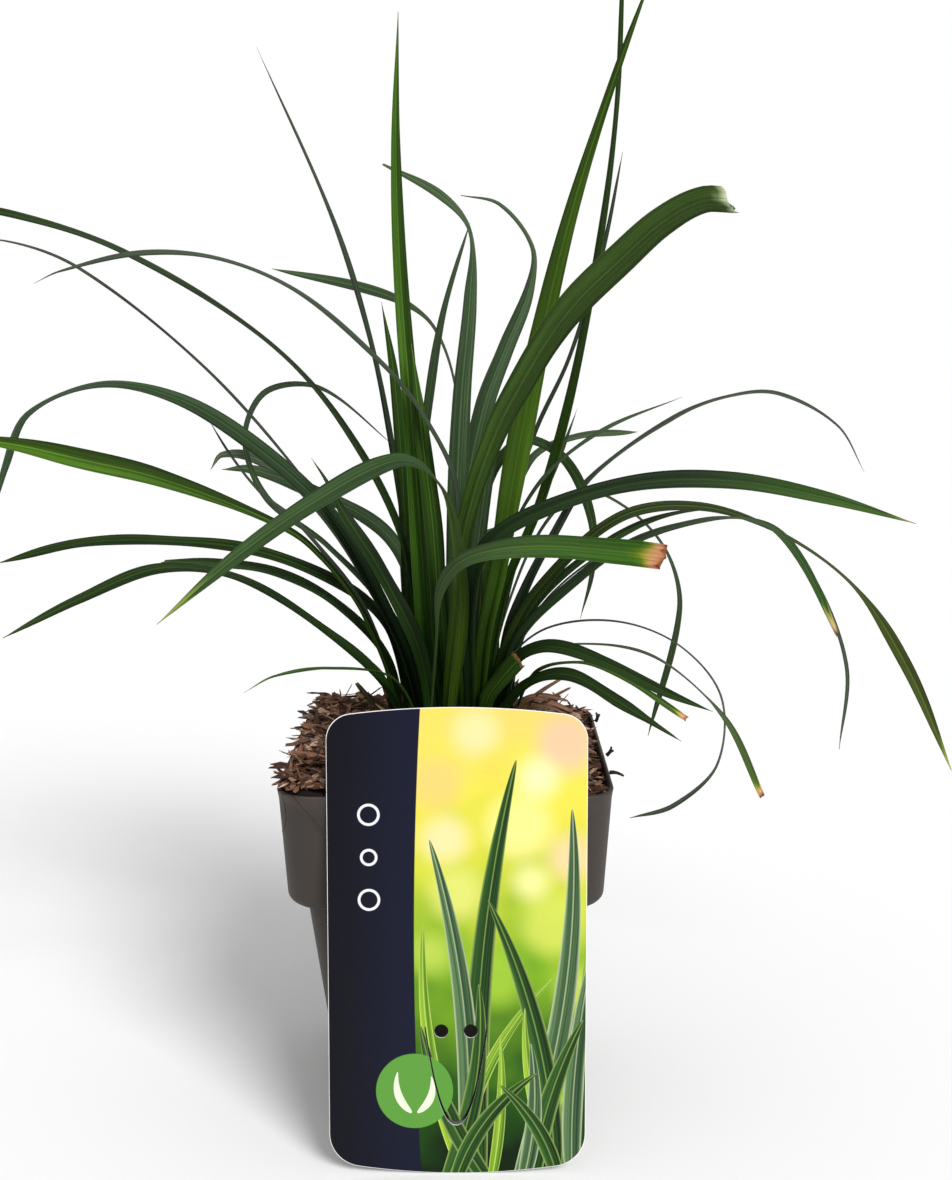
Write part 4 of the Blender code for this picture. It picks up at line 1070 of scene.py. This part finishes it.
def build_blade(seed, name, dress, width, turn, foot, seen_points, traits=()):
    """One blade as a closed strip: an upper and a lower row of points in each ring.

    Across the blade s runs from -1 to 1. The section rises from the midrib as the sine of
    s, which gives a V that flattens into shoulders before the margins; the fold is deep at the
    foot and shallow above. The lower row lies below by the thickness and a keel that falls
    off as a bell curve of the distance from the midrib. A torn end shortens each column.
    Stored for the look: the place on the blade and the colours of both faces, where the dress is
    read along the length, painted shade darkens the foot, one half gets painted light and the
    other painted shade, and the end's colours take over.
    """
    traits = {**USUAL, **dict(traits)}
    kept, dark_to, end = traits["kept"], traits["dark_to"], ENDS[traits["end"]]
    rng = np.random.default_rng(seed)
    spine, run = midrib(foot, seen_points)
    across, upper, facing = blade_frames(spine, run, turn, foot, seen_points[-1][0], rng)
    at = run / run[-1]
    share = np.linspace(0.0, 1.0, BLADE_RINGS)
    s = np.sin(np.linspace(-np.pi / 2, np.pi / 2, BLADE_SIDES))
    torn = kept < 1.0
    notch = rng.uniform(0.0, 1.0, BLADE_SIDES) * traits["ragged"]
    notch = (notch + traits["slant"] * (1 + s)) * (width / run[-1] if torn else 0.0)
    split = step_between(share, 1.0 - 3.0 * width / run[-1], 1.0) if torn else share * 0.0
    station = np.broadcast_to(share[:, None], (BLADE_RINGS, BLADE_SIDES))
    share = station - notch[None, :] * split[:, None]
    if "widths" in traits:
        wide = np.maximum(between_stations(share, traits["widths"]), POINT_WIDTH)
    else:
        wide = blade_width(width, share, kept, traits["full_to"])
    fold = np.interp(share, FOLD_AT, FOLD_DEEP)
    shown = np.abs(np.sin(np.radians(np.interp(share, at, facing))))
    fold = fold * rng.uniform(0.8, 1.25) * traits["fold"] * (0.25 + 0.75 * shown)
    lift = wide / 2 * fold * np.sin(np.abs(s) * SHOULDER_BEND) / np.sin(SHOULDER_FULL)
    wave = rng.uniform(0.02, 0.05) * wide * s
    wave = wave * np.sin(share * rng.uniform(16, 30) + rng.uniform(0, 6))
    thick = BLADE_THICK * np.minimum(1.0, wide / THICK_FROM) * (0.35 + 0.65 * (1 - s ** 2))
    keel = np.exp(-(s * wide / 2 / KEEL_REACH) ** 2)
    keel = KEEL_DEEP * np.minimum(1.0, wide / KEEL_FROM) * keel
    raised = lift + wave - MIDRIB_SINK * wide * fold
    centre = follow(share, at, spine)
    sideways = follow(share, at, across)
    out = follow(share, at, upper)
    x = (s * wide / 2)[..., None] * sideways
    top = centre + x + (raised + thick / 2)[..., None] * out
    low = centre + x + (raised - thick / 2 - keel)[..., None] * out
    points = np.concatenate([top, low[:, ::-1]], axis=1)
    ring = 2 * BLADE_SIDES
    made = build_mesh("blade_" + name, points.reshape(-1, 3), grid_quads(BLADE_RINGS, ring),
                      end_caps(BLADE_RINGS, ring))

    def both(values):
        """The values of the upper row, then the same ones for the lower row, in ring order."""
        values = np.broadcast_to(values, share.shape)
        return np.concatenate([values, values[:, ::-1]], axis=1).ravel()

    face = np.concatenate([np.ones(share.shape), np.zeros(share.shape)], axis=1).ravel()
    length = run[-1]
    mark(made, "weave", np.stack([both(s * wide / 2), both(share * length),
                                  np.full(face.shape, seed * 3.7)], axis=1), "FLOAT_VECTOR")
    mark(made, "leaf", np.stack([both(s), both(share), face], axis=1), "FLOAT_VECTOR")
    low_tone, middle, high, streak_and_sheen, below = (np.array(srgb(*tone)) for tone in DRESSES[dress])
    shift = rng.uniform(0.9, 1.12)
    # Painted shade at the foot: lit falls to 0.55 near the foot, the tint starts at 0.9 of the
    # foot tone, and the gleam and the lower face are dimmer within LIT_HEIGHT of the crown, as
    # painted shade inside the tuft.
    height = np.clip(both(share * length) / LIT_HEIGHT, 0, 1)
    lit = 0.55 + 0.45 * step_between(both(share), dark_to * 0.6, dark_to * 1.5)
    tones = np.stack([low_tone * 0.9, low_tone, middle, high])
    tint = follow(both(share), (0.0, dark_to, traits["middle_at"], 1.0), tones) * shift
    gleam = streak_and_sheen * shift * (lit * (0.5 + 0.5 * step_between(height, 0.05, 0.7)))[:, None]
    under = below * shift * (lit * (0.8 + 0.2 * step_between(height, 0.1, 0.9)))[:, None]
    places = [place for place, _ in end]
    tones = np.array([srgb(*tone) for _, tone in end])
    from_tip = (1.0 - both(station)) * length
    from_tip = from_tip * (1 + 0.3 * np.sin(both(s) * 4.1 + seed)) / np.clip(width / 8, 0.5, 1)
    dead = follow(from_tip, places, tones)
    weight = 1.0 - step_between(from_tip, places[-1], places[-1] * 1.5)
    # One half of the V is painted lighter and the other darker, by the way the blade leans on
    # screen: painted light and painted shade.
    screen_side = 1.0 if seen_points[-1][0] > foot[0] else -1.0
    painted_half_shade = 1.0 + traits["painted_half_shade"] * np.tanh(both(s) * 5.0) * screen_side
    for label, colour in (("tint", tint), ("gleam", gleam), ("under", under)):
        colour = colour * painted_half_shade[:, None]
        mark_colour(made, label, colour + (dead - colour) * weight[:, None])
    return made


look = Look("sedge_green", roughness=0.42, specular=0.1)
across, along, seed = look.parts(look.read("weave", 1))
s, share, face = look.parts(look.read("leaf", 1))
tint, gleam, under = (look.read(name, 0) for name in ("tint", "gleam", "under"))
bands = look.noise(look.join(across * 1.1, along * 0.006, seed), 1.0, 2.0)
fibres = look.noise(look.join(across * 5.5, along * 0.02, seed), 1.0, 3.0, 0.6)
veins = (across * 9.6 + fibres * 2.0).math("SINE") * 0.5 + 0.5
mottle = look.noise(look.join(across * 0.35, along * 0.05, seed + 9.0), 1.0, 4.0, 0.6)
streaky = look.band(bands * 0.75 + fibres * 0.3 + veins * 0.12, 0.46, 0.72)
front = look.mix(streaky * 0.5, tint, gleam)
back = look.mix(streaky * 0.5, under, look.shade(under, 1.35))
colour = look.mix(face, back, front)
# A lighter band down the middle of the blade is a painted highlight along the midrib fold.
middle = 1.0 - look.band(across.math("ABSOLUTE"), 0.12, 0.42)
colour = look.mix(middle * (0.34 + face * 0.1), colour, look.shade(gleam, 1.4))
# A line on each side of the midrib is darkened as painted shade in the creases of the M; the noise
# lines and a band inside each margin are darker streaks.
groove_shade = look.band((across.math("ABSOLUTE") - 0.62).math("ABSOLUTE"), 0.5, 0.1)
lines = look.noise(look.join(across * 3.1, along * 0.01, seed + 31.0), 1.0, 2.0, 0.5)
rim = s.math("ABSOLUTE")
dark = look.band(lines, 0.5, 0.36) * 0.38 + look.band(rim, 0.66, 0.88) * 0.45 + groove_shade * 0.25
colour = look.mix(dark.math("MINIMUM", 1.0), colour, look.shade(tint, 0.42))
# A thin pale line along each margin is a painted edge highlight.
margin_highlight = look.band(rim, 0.94, 0.99)
colour = look.mix(margin_highlight * 0.4, colour, look.shade(gleam, 1.1))
colour = look.shade(colour, 0.74 + mottle * 0.52)
freckle = look.band(look.noise(look.join(across * 2.0, along * 0.9, seed), 1.0, 2.0, 0.6),
                    0.73, 0.78)
colour = look.mix(freckle * 0.55, colour, srgb(96, 74, 40))
look.feed(Base_Color=colour, Roughness=0.34 + mottle * 0.14 + fibres * 0.1)
look.bump(veins * 0.6 + fibres, 0.00022, 0.6)
for number, row in enumerate(BLADES):
    blade = build_blade(number + 1, *row)
    finish_piece(blade, look.material, "sedge_blade", "leaf_" + row[0])


# Dead bits round the tuft: papery red-brown sheaths bent out to the right, a scrap of old
# blade at the left, dark twigs on the rim and hair-thin roots that hang over it.
DRESSES["husk"] = ((96, 60, 44), (138, 94, 70), (164, 122, 94), (196, 158, 128), (124, 84, 62))
DRESSES["stump"] = ((38, 32, 20), (66, 58, 38), (56, 50, 34), (116, 106, 76), (62, 54, 38))
ENDS["husk"] = ((0.0, (150, 112, 84)), (2.0, (132, 94, 66)))
DRY_TURN = (40, 60, 50)
DRY_KEPT = 0.9
DRY_BITS = (
    ("ribbon_pale", "husk", 1.8, (20, 3), ((28, 141, 5), (34, 146, 8), (42, 151, 10))),
    ("ribbon_level", "husk", 2.0, (21, -2), ((27, 142, -2), (34, 144, 0), (43, 142, 2))),
    ("ribbon_back", "husk", 2.4, (19, 7), ((26, 142, 10), (35, 142, 14), (45, 138, 16))),
    ("ribbon_low", "husk", 1.5, (22, -8), ((28, 139, -9), (35, 140, -10), (43, 137, -10))),
    ("ribbon_thin", "husk", 1.1, (18, 5), ((25, 144, 7), (31, 149, 9), (36, 151.5, 10))),
    ("ribbon_crossed", "husk", 1.6, (23, 2), ((30, 138, 3), (37, 143, 4), (44, 147, 4))),
    ("ribbon_brown", "husk", 1.4, (17, -10), ((26, 140, -12), (31, 143, -13), (36, 142, -14))),
    ("scrap_left", "husk", 2.8, (-17, -6), ((-22, 146, -7), (-24, 152, -8), (-27, 156, -8))),
    ("spike_left", "stump", 3.0, (-15, 9), ((-24, 140, 10), (-29, 144, 12), (-33, 149, 13))),
    ("reed_left", "husk", 1.4, (-14, 4), ((-20, 150, 5), (-23, 158, 6), (-25, 163, 6))),
)
TWIG_RADIUS = (0.75, 0.35)
TWIGS = (
    ((55.0, 21.0, 128.5), (55.5, 20.5, 130.4), (54.9, 20.2, 132.0)),
    ((55.4, 20.5, 130.0), (56.3, 20.3, 131.4)),
    ((55.8, -15.0, 126.5), (57.0, -15.5, 128.2), (57.2, -16.0, 129.8)),
    ((56.6, -15.3, 127.8), (58.2, -15.2, 128.2)),
    ((55.0, -36.0, 127.0), (57.4, -37.2, 127.2), (59.4, -38.0, 126.4)),
)
HAIRS = (
    (0.22, ((20, 6, 131), (30, 6, 140), (40, 6, 136), (46, 7, 129))),
    (0.11, ((-50, -52, 126), (-48, -55.9, 124.6), (-44, -56.4, 120), (-39, -56, 113))),
    (0.11, ((-53, -50, 126), (-52, -55.6, 125), (-51, -56.2, 119), (-52.5, -55.8, 113.5))),
)
for number, (name, dress, width, foot, path) in enumerate(DRY_BITS):
    traits = {"end": "husk" if dress == "husk" else "cut", "kept": DRY_KEPT}
    bit = build_blade(70 + number, "dry_" + name, dress, width, DRY_TURN, foot, path, traits)
    finish_piece(bit, look.material, "sheath_bases")


def smooth_path(knots, count):
    """Even points on a cubic that passes through the knots, by their lengths from the first."""
    knots = np.array(knots, float)
    spans = np.linalg.norm(np.diff(knots, axis=0), axis=1)
    at = np.concatenate(([0.0], np.cumsum(spans)))
    return np.stack([np.polyval(np.polyfit(at, knots[:, axis], len(at) - 1),
                                np.linspace(0.0, at[-1], count)) for axis in range(3)], axis=1)


look = Look("dead_fibre", roughness=0.8, specular=0.2)
tone = look.noise(look.place(), 900.0, 2.0)
look.feed(Base_Color=look.mix(tone, srgb(24, 18, 14), srgb(58, 44, 34)))
for number, knots in enumerate(TWIGS):
    path = smooth_path(knots, 12)
    twig = round_bar(f"twig_{number + 1}", path, np.linspace(*TWIG_RADIUS, len(path)), 7)
    finish_piece(twig, look.material, "bark")
for number, (radius, knots) in enumerate(HAIRS):
    hair = round_bar(f"root_hair_{number + 1}", smooth_path(knots, 18), radius, 6)
    finish_piece(hair, look.material, "bark")


# Label: a die-cut plastic card that leans on the rim, printed on the front, with two punched
# holes over a tongue that is cut free on three sides and stands a little back.
LABEL_WIDTH = 84.0
LABEL_HEIGHT = 155.0
LABEL_THICK = 0.5
LABEL_X = 4.0
LABEL_LEAN = math.radians(5.66)
LABEL_GAP = 0.15
LABEL_ARCH = 3.2
LABEL_SAG = 4.0
LABEL_TOP_CORNER = 8.5
LABEL_FOOT_CORNER = 11.0
HOLE_RADIUS = 2.3
HOLE_Z = 48.2
HOLE_X = (-5.2, 4.4)
TONGUE_HALF = 10.4
TONGUE_TOP = 49.6
TONGUE_LENGTH = 33.3
TONGUE_SLIT = 0.5
TONGUE_BEND = (0.75, 1.7)
TONGUE_BACK = 0.5
CARD_RINGS = 44
CARD_CORNER_STEPS = 12
CARD_BEVEL = (0.22, 0.09)
HALF_HEIGHT = 77.0
BAND_EDGE = -14.0
BAND_BOW = 2.2
DISC_AT = (-14.0, 28.0)
DISC_RADIUS = 12.6
ICON_U = -28.5
ICONS = ((120.0, 3.2), (106.0, 2.4), (92.0, 3.2))
PRINT_SOFT = 0.12
GLOW_SOFT = 5.0
DARK_LEAF = ((12, 36, 14), (52, 92, 38), (160, 186, 100))
PALE_LEAF = ((62, 112, 26), (146, 186, 52), (214, 226, 120))
COOL_LEAF = ((22, 50, 32), (88, 120, 78), (206, 218, 176))
WHITE_LEAF = ((214, 232, 196), (232, 242, 220), (214, 232, 196))


def card_bow(x_from, x_to, level, rise, steps=28):
    """The slightly curved top or foot edge: it falls off with the square of the width."""
    x = np.linspace(x_from, x_to, steps)[1:-1]
    return np.stack([x, level + rise * (1 - (x / (LABEL_WIDTH / 2)) ** 2)], axis=1)


def card_side(x, z_from, z_to, steps=30):
    """A straight side of the card between two corners."""
    z = np.linspace(z_from, z_to, steps)[1:-1]
    return np.stack([np.full(len(z), x), z], axis=1)


half = LABEL_WIDTH / 2
top = LABEL_HEIGHT - LABEL_ARCH
high_turn = math.degrees(math.atan(2 * LABEL_ARCH * (half - LABEL_TOP_CORNER) / half ** 2))
low_turn = math.degrees(math.atan(2 * LABEL_SAG * (half - LABEL_FOOT_CORNER) / half ** 2))
high_x = half - LABEL_TOP_CORNER
low_x = half - LABEL_FOOT_CORNER
high_end = high_x + LABEL_TOP_CORNER * math.sin(math.radians(high_turn))
low_end = low_x + LABEL_FOOT_CORNER * math.sin(math.radians(low_turn))
high_z = top + LABEL_ARCH * (1 - (high_end / half) ** 2) \
    - LABEL_TOP_CORNER * math.cos(math.radians(high_turn))
low_z = LABEL_SAG - LABEL_SAG * (1 - (low_end / half) ** 2) \
    + LABEL_FOOT_CORNER * math.cos(math.radians(low_turn))
outline = np.concatenate([
    arc(high_x, high_z, LABEL_TOP_CORNER, 0, 90 - high_turn, CARD_CORNER_STEPS),
    card_bow(high_end, -high_end, top, LABEL_ARCH),
    arc(-high_x, high_z, LABEL_TOP_CORNER, 90 + high_turn, 180, CARD_CORNER_STEPS),
    card_side(-half, high_z, low_z),
    arc(-low_x, low_z, LABEL_FOOT_CORNER, 180, 270 - low_turn, CARD_CORNER_STEPS),
    card_bow(-low_end, low_end, LABEL_SAG, -LABEL_SAG),
    arc(low_x, low_z, LABEL_FOOT_CORNER, 270 + low_turn, 360, CARD_CORNER_STEPS),
    card_side(half, low_z, high_z)])
card_centre = np.array((0.0, LABEL_HEIGHT / 2))
inset = 1 - CARD_BEVEL[0] / np.array((half, HALF_HEIGHT))
inward = card_centre + (outline - card_centre) * inset
scales = np.linspace(0.03, 1.0, CARD_RINGS)[:, None, None]
face_rings = card_centre + (inward - card_centre) * scales
around = len(outline)
card_rings = np.concatenate([face_rings, outline[None], outline[None], face_rings[::-1]])
depth = np.concatenate([np.full(CARD_RINGS, LABEL_THICK / 2), [LABEL_THICK / 2 - CARD_BEVEL[1]]])
depth = np.concatenate([depth, -depth[::-1]])
card_points = np.concatenate([card_rings, np.broadcast_to(
    depth[:, None, None], (*card_rings.shape[:2], 1))], axis=2).reshape(-1, 3)
rows = len(card_rings)
card = build_mesh("plant_card", card_points, grid_quads(rows, around), end_caps(rows, around),
                  smooth=False)


def prism(name, shape_points):
    """A cutter that stands through the card on a closed plan."""
    plan = np.array(shape_points, float)
    count = len(plan)
    both_ends = np.concatenate([np.column_stack([plan, np.full(count, z)]) for z in (-3.0, 3.0)])
    return build_mesh(name, both_ends, grid_quads(2, count), end_caps(2, count), smooth=False)


middle = sum(HOLE_X) / 2
steps = np.linspace(-1.0, 1.0, 49)
reach = np.sign(steps) * TONGUE_HALF * np.abs(steps) ** TONGUE_BEND[0]
level = TONGUE_TOP - TONGUE_LENGTH * (1 - np.abs(steps) ** TONGUE_BEND[1])
inner_reach = np.sign(steps) * np.maximum(np.abs(reach) - TONGUE_SLIT, 0.0)
inner_level = level + 2 * TONGUE_SLIT * (1 - np.abs(steps))
slit = np.concatenate([np.column_stack([middle + reach, level]),
                       np.column_stack([middle + inner_reach, inner_level])[::-1]])
turn = once_round(48)
cutters = [prism("slit_cutter", slit)]
for number, hole_x in enumerate(HOLE_X):
    cutters.append(prism(f"hole_cutter_{number + 1}", np.column_stack(
        [hole_x + HOLE_RADIUS * np.cos(turn), HOLE_Z + HOLE_RADIUS * np.sin(turn)])))
carve(card, cutters)
flat = np.empty(len(card.data.vertices) * 3, np.float32)
card.data.vertices.foreach_get("co", flat)
flat = flat.reshape(-1, 3).astype(float) / MM
mark(card, "print", flat, "FLOAT_VECTOR")
tongue_reach = np.abs(flat[:, 0] - middle) / TONGUE_HALF
tongue_foot = TONGUE_TOP - TONGUE_LENGTH * (1 - np.minimum(tongue_reach, 1.0) ** (
    TONGUE_BEND[1] / TONGUE_BEND[0]))
on_tongue = (tongue_reach < 1.0) & (flat[:, 1] > tongue_foot + 0.3) & (flat[:, 1] < TONGUE_TOP)
sunk = TONGUE_BACK * step_between(TONGUE_TOP - flat[:, 1], 0.0, TONGUE_LENGTH) * on_tongue
rim_y = -(RIM_HALF + LABEL_GAP + LABEL_THICK / 2 / math.cos(LABEL_LEAN))
foot_y = rim_y - RIM_Z * math.tan(LABEL_LEAN)
lift = LABEL_THICK / 2 * math.sin(LABEL_LEAN)
deep = flat[:, 2] - sunk
placed = np.column_stack([
    LABEL_X + flat[:, 0],
    foot_y + flat[:, 1] * math.sin(LABEL_LEAN) - deep * math.cos(LABEL_LEAN),
    lift + flat[:, 1] * math.cos(LABEL_LEAN) + deep * math.sin(LABEL_LEAN)])
card.data.vertices.foreach_set("co", (placed * MM).astype(np.float32).ravel())
card.data.update()

look = Look("printed_card", roughness=0.34, specular=0.12)
u, v, depth = look.parts(look.read("print", 1))
spot = look.join(u, v, 0.0)


def round_patch(centre_u, centre_v, radius, soft):
    """A round patch: 1 inside, falling smoothly to 0 within soft of its edge."""
    reach = ((u - centre_u) ** 2 + (v - centre_v) ** 2) ** 0.5
    return look.band(reach, radius + soft, radius - soft)


picture = look.node("ValToRGB", {"stops": (
    (0.0, srgb(12, 32, 9)), (0.2, srgb(38, 84, 20)), (0.45, srgb(120, 166, 36)),
    (0.66, srgb(196, 204, 62)), (0.84, srgb(232, 216, 80)), (1.0, srgb(234, 204, 106)))},
    [v / LABEL_HEIGHT + (look.noise(spot, 0.035, 2.0) - 0.5) * 0.45])
for *patch, tone in (
        (35, 143, 9, (238, 186, 168)), (6, 147, 7, (244, 222, 170)),
        (20, 116, 10, (246, 232, 150)), (0, 94, 8, (220, 222, 120)), (31, 84, 10, (206, 216, 92)),
        (-7, 130, 8, (226, 196, 120)), (12, 66, 9, (158, 196, 58)), (37, 106, 7, (238, 204, 170)),
        (-4, 112, 7, (240, 222, 176)), (26, 132, 6, (248, 236, 190)), (40, 62, 7, (196, 208, 92)),
        (12, 134, 5, (232, 206, 84)), (-8, 74, 6, (186, 206, 84)), (24, 98, 5, (244, 238, 168))):
    picture = look.mix(round_patch(*patch, GLOW_SOFT) * 0.75, picture, srgb(*tone))


def printed_leaf(colours, foot_u, foot_v, tip_u, tip_v, bow, width):
    """A printed blade: a lens about a line that bows sideways between its foot and its tip.

    Along the line t runs from 0 to 1; the line leaves the straight by bow times 4t(1-t), and
    the half width is width times the root of t(1-t), times a share that falls to the tip.
    """
    length = math.hypot(tip_u - foot_u, tip_v - foot_v)
    way_u, way_v = (tip_u - foot_u) / length, (tip_v - foot_v) / length
    along = ((u - foot_u) * way_u + (v - foot_v) * way_v) / length
    side = (u - foot_u) * -way_v + (v - foot_v) * way_u
    inside = (along * (1.0 - along)).math("MAXIMUM", 0.0)
    offset = side - inside * (4.0 * bow)
    half = inside ** 0.5 * width * (1.35 - along * 0.7)
    edge = offset.math("ABSOLUTE") / half.math("MAXIMUM", 0.01)
    cover = look.band(half - offset.math("ABSOLUTE"), 0.0, PRINT_SOFT)
    lit = look.band(offset / width, -0.5, 0.35) * 0.55
    lanes = look.noise(look.join(offset * 1.5, along * 0.7, width + foot_u), 1.0, 2.0, 0.6)
    body = look.mix(lit + look.band(lanes, 0.45, 0.62) * 0.5, srgb(*colours[0]), srgb(*colours[1]))
    pale = look.band(edge, 0.7, 0.98) * 0.6 + look.band(offset.math("ABSOLUTE"), 0.3, 0.12) * 0.4
    body = look.mix(pale.math("MINIMUM", 1.0), body, srgb(*colours[2]))
    return cover, body


for colours, *shape in (
        (PALE_LEAF, 4, -6, -11, 84, 5, 4.4), (COOL_LEAF, 18, -8, 37, 122, -7, 7.4),
        (PALE_LEAF, 22, -6, 42, 78, -5, 4.6), (DARK_LEAF, 8, -10, 19, 138, 6, 7.8),
        (COOL_LEAF, 2, -8, -9, 112, -6, 6.8), (PALE_LEAF, 0, -4, 31, 66, 7, 4.2),
        (DARK_LEAF, 32, -8, 10, 92, -6, 7.0), (DARK_LEAF, -6, -8, 7, 64, -5, 6.4),
        (PALE_LEAF, 36, -6, 22, 56, 4, 4.0), (COOL_LEAF, 38, -8, 45, 78, 3, 6.4),
        (DARK_LEAF, 14, -8, -12, 50, 4, 6.0), (DARK_LEAF, 24, -8, 41, 52, 3, 6.6),
        (COOL_LEAF, 20, -8, 24, 44, -3, 5.4), (PALE_LEAF, 10, -8, 14, 46, -2, 3.6),
        (DARK_LEAF, -2, -8, 26, 34, 5, 5.6), (DARK_LEAF, 34, -8, 14, 30, -4, 5.2)):
    cover, body = printed_leaf(colours, *shape)
    picture = look.mix(cover, picture, body)
navy = look.mix(look.band(u, -half, BAND_EDGE), srgb(14, 13, 22), srgb(20, 23, 42))
edge_line = u - BAND_EDGE - ((v - HALF_HEIGHT) / HALF_HEIGHT) ** 2 * BAND_BOW
colour = look.mix(look.band(edge_line, -PRINT_SOFT, PRINT_SOFT), navy, picture)
disc_u, disc_v = DISC_AT
disc = round_patch(disc_u, disc_v, DISC_RADIUS, PRINT_SOFT)
colour = look.mix(disc, colour, srgb(90, 148, 60))
for shape in ((disc_u - 1, disc_v - 7.5, disc_u - 5.5, disc_v + 6.5, 2.2, 2.6),
              (disc_u + 1, disc_v - 7.5, disc_u + 5.5, disc_v + 5.0, -2.2, 2.6)):
    cover, body = printed_leaf(WHITE_LEAF, *shape)
    colour = look.mix(cover, colour, body)
for icon_v, size in ICONS:
    out = ((u - ICON_U) ** 2 + (v - icon_v) ** 2) ** 0.5
    ring = look.band((out - size).math("ABSOLUTE"), 0.55, 0.3)
    colour = look.mix(ring, colour, srgb(226, 228, 232))
front = look.band(depth, 0.225, 0.245)
colour = look.mix(front, srgb(238, 238, 234), colour)
look.feed(Base_Color=colour)
finish_piece(card, look.material, "label_card", "plant_label")
